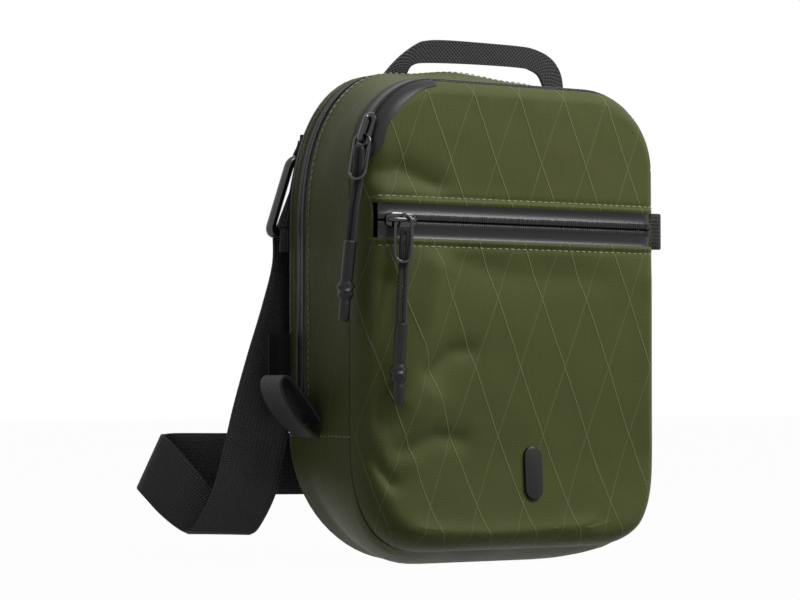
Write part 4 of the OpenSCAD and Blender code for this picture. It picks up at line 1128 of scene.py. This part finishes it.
def band(name, left, right, thick, material, start=0.0, across=9):
    """A closed web between two edge lines of as many points, with edges a little thinner."""
    left, right = np.asarray(left, float), np.asarray(right, float)
    spread = (1 - np.cos(np.linspace(0, math.pi, across))) / 2
    spread[[1, -2]] = [0.03, 0.97]
    middle = left[:, None] + (right - left)[:, None] * spread[None, :, None]
    normals = grid_normals(middle)
    trim = np.ones(across)
    trim[[0, -1]] = 0.35
    half = normals * (thick / 2 * trim)[None, :, None]
    top, low = middle + half, middle - half
    rows_n = len(left)
    n = rows_n * across
    verts = np.concatenate([top.reshape(-1, 3), low.reshape(-1, 3)])
    faces = []
    for i in range(rows_n - 1):
        for j in range(across - 1):
            k = i * across + j
            cell = (k, k + across, k + across + 1, k + 1)
            faces += [cell, tuple(n + c for c in reversed(cell))]
        a, b = i * across, i * across + across - 1
        faces += [(a, a + n, a + n + across, a + across), (b + across, b + across + n, b + n, b)]
    for j in range(across - 1):
        a, b = j, (rows_n - 1) * across + j
        faces += [(a + 1, a + 1 + n, a + n, a), (b, b + n, b + n + 1, b + 1)]
    uv = grid_uv(middle, start=start)
    return mesh_piece(name, verts, faces, material, np.concatenate([uv, uv]), 40)


rail_path = np.array(rails)
left_rail, right_rail = smooth_path(rail_path[:, 0], 8), smooth_path(rail_path[:, 1], 8)
cut = 8 * 8
strap_upper = band("strap_upper", left_rail[: cut + 1], right_rail[: cut + 1], STRAP_T, strap_web)
upper_l = np.linalg.norm(np.diff((left_rail + right_rail)[: cut + 1] / 2, axis=0), axis=1).sum()
strap_lower = band("strap_lower", left_rail[cut:], right_rail[cut:], STRAP_T, strap_web, start=upper_l)
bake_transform(strap_upper)
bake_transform(strap_lower)
for piece in (strap_upper, strap_lower):
    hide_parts("strap")
whole = np.linalg.norm(np.diff((left_rail + right_rail) / 2, axis=0), axis=1).sum()
print("strap", round(whole), "mm along its middle")

# %% [markdown]
# ## Rings, anchors, handle and small webbing
# The strap ring and lower ring are bent wire. Their anchors are short webbing folds sewn to the
# back. The handle is a stiff pebbled web that stands up behind the top edge.

# %% Rings and anchors
def rounded_loop(corners, size):
    """A closed line through corners with each one rounded."""
    c, n, line = [np.array(p, float) for p in corners], len(corners), []
    for i in range(n):
        a, b = c[i] + size * unit(c[i - 1] - c[i]), c[i] + size * unit(c[(i + 1) % n] - c[i])
        line += [mix(mix(a, c[i], t), mix(c[i], b, t), t) for t in np.linspace(0, 1, 9)]
        end = c[(i + 1) % n] + size * unit(c[i] - c[(i + 1) % n])
        line += [mix(b, end, t) for t in np.linspace(0, 1, 8)[1:-1]]
    return np.array(line)


STRAP_RING_R, LOWER_RING_R, ANCHOR_T = 2.4, 1.8, 1.4
loop = rounded_loop([(RING_X + x, RING_Y, z) for x, z in ((-7, 194), (7, 194), (19, 158), (-19, 158))], 4)
tube("strap_ring_wire", loop, STRAP_RING_R, enamel, "strap_ring", ["strap_ring"], "black_metal", sides=20,
     closed=True)
corners = ((0, 18.5), (14, 18.5), (14, -18.5), (0, -18.5))
loop = rounded_loop([(LOW_X + x, LOW_Y, LOW_Z + z) for x, z in corners], 3.5)
tube("lower_ring_wire", loop, LOWER_RING_R, enamel, "bag", ["lower_strap_ring"], "black_metal", sides=16,
     closed=True)


def web_fold(name, line, across, thick, body, nodes, material=strap_web):
    """A web of constant width along a line of points; across is half its width as a vector."""
    line = smooth_path(line, 4)
    made = band(name, line - across, line + across, thick, material, across=7)
    sewn(made, body, nodes)


pad_back = BACK_Y + PAD_T
patch = np.array([(-17, 161), (-10, 178), (-6.5, 194), (-4.6, 200), (-4, 206)])
patch_l = [(RING_X + x, pad_back + 0.8, z) for x, z in patch]
patch_r = [(RING_X + 11.5, pad_back + 0.8, z) for x, z in patch]
sewn(band("anchor_patch_web", patch_l, patch_r, 0.9, strap_web), "back_flap", [])
anchor = [(RING_X, pad_back + 0.9, 203), (RING_X, pad_back + 1, 200), (RING_X, RING_Y - 3.5, 196)]
anchor += [(RING_X, RING_Y + 3.5 * math.cos(t), 194 + 3.5 * math.sin(t))
           for t in np.linspace(math.pi, 2 * math.pi, 7)[1:-1]]
anchor += [(RING_X, RING_Y + 3.4, 196), (RING_X, pad_back + 4, 200), (RING_X, pad_back + 2.4, 203)]
web_fold("upper_anchor_web", anchor, np.array([4.2, 0, 0]), ANCHOR_T, "back_flap", ["upper_anchor"])
ax = LOW_X + 14
anchor = [(83.5, pad_back + 0.6, LOW_Z), (80, pad_back + 0.9, LOW_Z), (ax + 1.5, LOW_Y - 2.9, LOW_Z)]
anchor += [(ax - 2.9 * math.sin(t), LOW_Y - 2.9 * math.cos(t), LOW_Z)
           for t in np.linspace(0, math.pi, 7)[1:-1]]
anchor += [(ax + 1.5, LOW_Y + 2.8, LOW_Z), (80, pad_back + 3.4, LOW_Z), (83.5, pad_back + 2.1, LOW_Z)]
web_fold("lower_anchor_web", anchor, np.array([0, 0, 11.0]), ANCHOR_T, "bag", ["lower_anchor"])

# %% Handle, tab, end loop and label
HANDLE_Y, LABEL_Z = 39.5, 97
TAB_HALF, LOOP_HALF, LABEL_HALF = 8.75, 10.0, 13.0
outer = smooth_path([(x, HANDLE_Y, z) for x, z in (
    (-32, 222), (-32, 232), (-28, 239), (-19, 248), (-9.6, 254.5), (-3.8, 256.6), (7.4, 257.6), (30, 257.8),
    (52.5, 257.6), (60.4, 256.8), (68.2, 254.4), (74.1, 250.2), (78, 243), (79, 230), (78.5, 212),
    (76.5, 195))], 6)
inner = smooth_path([(x, HANDLE_Y, z) for x, z in (
    (-17, 222), (-17, 232), (-15.5, 238), (-13.6, 242), (-11, 244), (-6, 245.2), (7.4, 246), (30, 246.6),
    (52.5, 246.6), (58.5, 245.6), (63.5, 243), (66.5, 237), (67.2, 229), (66.5, 212), (64.5, 198),
    (64.4, 197))], 6)
handle = band("handle_band", outer, inner, 2.2, handle_web)
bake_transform(handle)
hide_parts("handle", "handle_tabs")

tab = [(x, y, POCKET_Z) for x, y in ((79.2, -28.6), (82, -29.2), (85.6, -29.5), (87.2, -30.9), (85.6, -32.4),
                                     (81.5, -32.2), (77.6, -32.4))]
web_fold("side_tab_web", tab, np.array([0, 0, TAB_HALF]), 1.2, "bag", ["side_tab"])
eye = [(x, ZIP_MID - 10.3, z) for x, z in (
    (-81.3, 61), (-86, 62.4), (-94, 68.5), (-100.5, 77), (-103.6, 85), (-102, 88.8), (-98.4, 88), (-91.6, 80.6),
    (-85.6, 73.2), (-82, 68))]
web_fold("zip_end_loop_web", eye, np.array([0, LOOP_HALF, 0]), 1.7, "bag", ["zip_end_loop"])
tag = [(x, BACK_Y + off, LABEL_Z) for x, off in ((-82.3, 0.9), (-86, 0.8), (-90, 1.2), (-94.4, 0.7))]
web_fold("side_label_cloth", tag, np.array([0, 0, LABEL_HALF]), 0.9, "back_flap", ["side_label"],
         black_label_and_seam_shade)

# %% [markdown]
# ## Front seam
# Where the front is sewn to the base and sides, a thin dark tube of painted shade stands for the
# shade in the seam's fold. It runs from one top corner down, round the foot and up again.

# %% Front seam shade line
turns = np.linspace(0, math.pi / 2, 26)
seam = [(W / 2 - LAP, z) for z in np.linspace(CORNER_Z - 2, BOOT, 24)[:-1]]
seam += [(CORNER_X + (CORNER - LAP) * swell(math.cos(t), LOW_POWER),
          BOOT - (BOOT - RISE - LAP) * swell(math.sin(t), LOW_POWER)) for t in turns]
foot = [(x, RISE + LAP) for x in np.linspace(CORNER_X, -CORNER_X, 22)[1:-1]]
seam = seam + foot + [(-x, z) for x, z in reversed(seam)]
SEAM_SHADE_R = 0.62
# The dark tube is painted shade in the seam's fold.
tube("front_seam_shade_line", [(x, seam_at(z) + 0.1, z) for x, z in seam], SEAM_SHADE_R, black_label_and_seam_shade, "bag", sides=8)

# %% [markdown]
# ## Plain plate and the parts kept from CAD
# Where the real bag carries its badge, a plain moulded pill stands. The divider, lining, foam and
# adjuster are simple cut or moulded parts, so their CAD meshes stay and only get a finish.

# %% Plate and dressed nodes
PLATE_Z, PLATE_W, PLATE_H = 44, 10, 25
halves = np.linspace(0, math.pi, 17), np.linspace(math.pi + 1e-6, 2 * math.pi, 17)
outline = [(PLATE_W / 2 * math.cos(t),
            (PLATE_H - PLATE_W) / 2 * (1 if t < math.pi else -1) + PLATE_W / 2 * math.sin(t))
           for t in np.concatenate(halves)]
high, low = front_y(5, PLATE_Z + PLATE_H / 2), front_y(5, PLATE_Z - PLATE_H / 2)
plate_out = np.cross((1, 0, 0), unit((0, high - low, PLATE_H)))
rings = []
for z, s in ((-0.8, 1.0), (1.1, 1.0), (1.5, 0.97), (1.7, 0.9)):
    inset = PLATE_W / 2 * (1 - s)
    ring = [(x - math.copysign(inset, x), y - math.copysign(inset, y), z) for x, y in outline]
    rings.append(placed(ring, (5, front_y(5, PLATE_Z), PLATE_Z), (1, 0, 0), plate_out))
verts, faces = stacked(rings)
plate = mesh_piece("plain_plate", verts, faces, acetal, [(0, 0)] * len(verts))
sewn(plate, "bag", ["front_plate"])

for node, material, slot in (("divider_panel", lining, "lining"), ("pocket_lining", lining, "lining"),
                             ("back_foam", foam, "foam"), ("strap_adjuster", acetal, "buckle")):
    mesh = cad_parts[node].data
    mesh.materials.clear()
    mesh.materials.append(material)
print("dressed 4 CAD nodes")

# %% [markdown]
# ## Floor and light
# The photograph is a studio shot on white with soft light from the front right and above. Large
# lamps light the bag at a plain level. Only camera, glossy and transmission rays see pure white.

# %% Floor, lamps and world
def shown_white(tree):
    path = add(tree, "ShaderNodeLightPath")
    seen = sums(tree, "MAXIMUM", path.outputs["Is Camera Ray"], path.outputs["Is Glossy Ray"])
    return sums(tree, "MAXIMUM", seen, path.outputs["Is Transmission Ray"])


bpy.ops.mesh.primitive_plane_add(size=12, location=(0, 0, -0.0002))
floor = bpy.context.object
floor.name = "floor"
paper = bpy.data.materials.new("white_paper_floor")
paper.use_nodes = True
tree = paper.node_tree
tree.nodes.clear()
matt = add(tree, "ShaderNodeBsdfDiffuse", {"Color": colour("8c8c8c")})
glow = add(tree, "ShaderNodeEmission", {"Color": (1, 1, 1, 1), "Strength": 1.0})
blend_in = sums(tree, "MULTIPLY", shown_white(tree), 0.975)
both = add(tree, "ShaderNodeMixShader", {0: blend_in, 1: matt.outputs[0], 2: glow.outputs[0]})
add(tree, "ShaderNodeOutputMaterial", {"Surface": both.outputs[0]})
floor.data.materials.append(paper)

world = bpy.data.worlds.new("studio")
scene.world = world
world.use_nodes = True
tree = world.node_tree
tree.nodes.clear()
strength = sums(tree, "MULTIPLY_ADD", shown_white(tree), 0.92, 0.08)
sky = add(tree, "ShaderNodeBackground", {"Color": (1, 1, 1, 1), "Strength": strength})
add(tree, "ShaderNodeOutputWorld", {"Surface": sky.outputs[0]})


def lamp(name, place, size, power):
    data = bpy.data.lights.new(name, "AREA")
    data.shape, data.size, data.size_y, data.energy = "RECTANGLE", size[0], size[1], power
    made = bpy.data.objects.new(name, data)
    scene.collection.objects.link(made)
    made.location = place
    made.rotation_euler = (Vector((0, 0, 0.13)) - made.location).to_track_quat("-Z", "Y").to_euler()
    made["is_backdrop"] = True


lamp("key_softbox", (0.5, -0.66, 0.9), (0.4, 0.4), 10.5)
lamp("top_softbox", (0.0, -0.5, 0.95), (0.5, 0.3), 4)
lamp("left_rim_softbox", (-1.3, 0.2, 0.6), (0.35, 0.9), 0.3)
floor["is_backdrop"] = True
scene.view_settings.view_transform = "Standard"
print("3 lamps")

# %% [markdown]
# ## Check against the photograph
# Each named point is compared with the middle of what shows of its piece, from the vertices that
# the camera sees, and the whole bag's sides with the outermost of them.

# %% Offsets of the points and sides
SHY_OF_SURFACE = 0.0006


def seen_points(names, cap=420):
    """Frame places of the vertices of these objects that the camera sees."""
    graph = bpy.context.evaluated_depsgraph_get()
    start, found = camera.matrix_world.translation, []
    back = camera.matrix_world.inverted()
    long_side = max(FRAME_W, FRAME_H)
    for name in names:
        o = bpy.data.objects[name]
        step = max(1, len(o.data.vertices) // cap)
        for v in list(o.data.vertices)[::step]:
            p = o.matrix_world @ v.co
            way = p - start
            hit, _, _, _, thing, _ = scene.ray_cast(graph, start, way.normalized(),
                                                    distance=way.length - SHY_OF_SURFACE)
            if not hit or thing == o:
                local = back @ p
                found.append((FRAME_W / 2 - long_side * LENS / SENSOR * local.x / local.z,
                              FRAME_H / 2 + long_side * LENS / SENSOR * local.y / local.z))
    return np.array(found) if found else None


SHOWS = {"handle_left_bend": None, "front_plate": ["plain_plate"], "pocket_slider": ["pocket_slider_cast"],
         "pocket_ring": ["pocket_ring_wire"], "pocket_grip": ["pocket_rubber_end"], "top_ring": ["top_ring_wire"],
         "top_grip": ["top_rubber_end"], "side_tab": ["side_tab_web"], "side_label": ["side_label_cloth"],
         "end_loop": ["zip_end_loop_web"], "strap_ring": ["strap_ring_wire"],
         "pocket_zip": ["pocket_zip_lower", "pocket_zip_upper"]}
EDGE_CAP = 4000
edges = seen_points(["handle_band", "strap_lower", "strap_upper", "front_lower_cloth", "base_panel_cloth",
                     "side_tab_web", "main_panel_cloth"], EDGE_CAP)
offsets = {"left": [float(edges[:, 0].min()) - POINTS["left"][0], None],
           "right": [float(edges[:, 0].max()) - POINTS["right"][0], None],
           "top": [None, float(edges[:, 1].min()) - POINTS["top"][1]],
           "bottom": [None, float(edges[:, 1].max()) - POINTS["bottom"][1]]}
for name, pieces in SHOWS.items():
    shown = seen_points(pieces) if pieces else None
    if name == "handle_left_bend":
        band_seen = seen_points(["handle_band"], EDGE_CAP)
        near = band_seen[np.argsort(np.abs(band_seen[:, 0] - POINTS[name][0]))[:12]]
        offsets[name] = [0.0, float(near[:, 1].min()) - POINTS[name][1]]
    elif shown is None:
        offsets[name] = None
    else:
        offsets[name] = [float((shown.min(0) + shown.max(0))[k] / 2) - POINTS[name][k] for k in (0, 1)]
offsets = {k: None if v is None else [None if x is None else round(x, 1) for x in v]
           for k, v in offsets.items()}
low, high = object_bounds()
print(offsets)
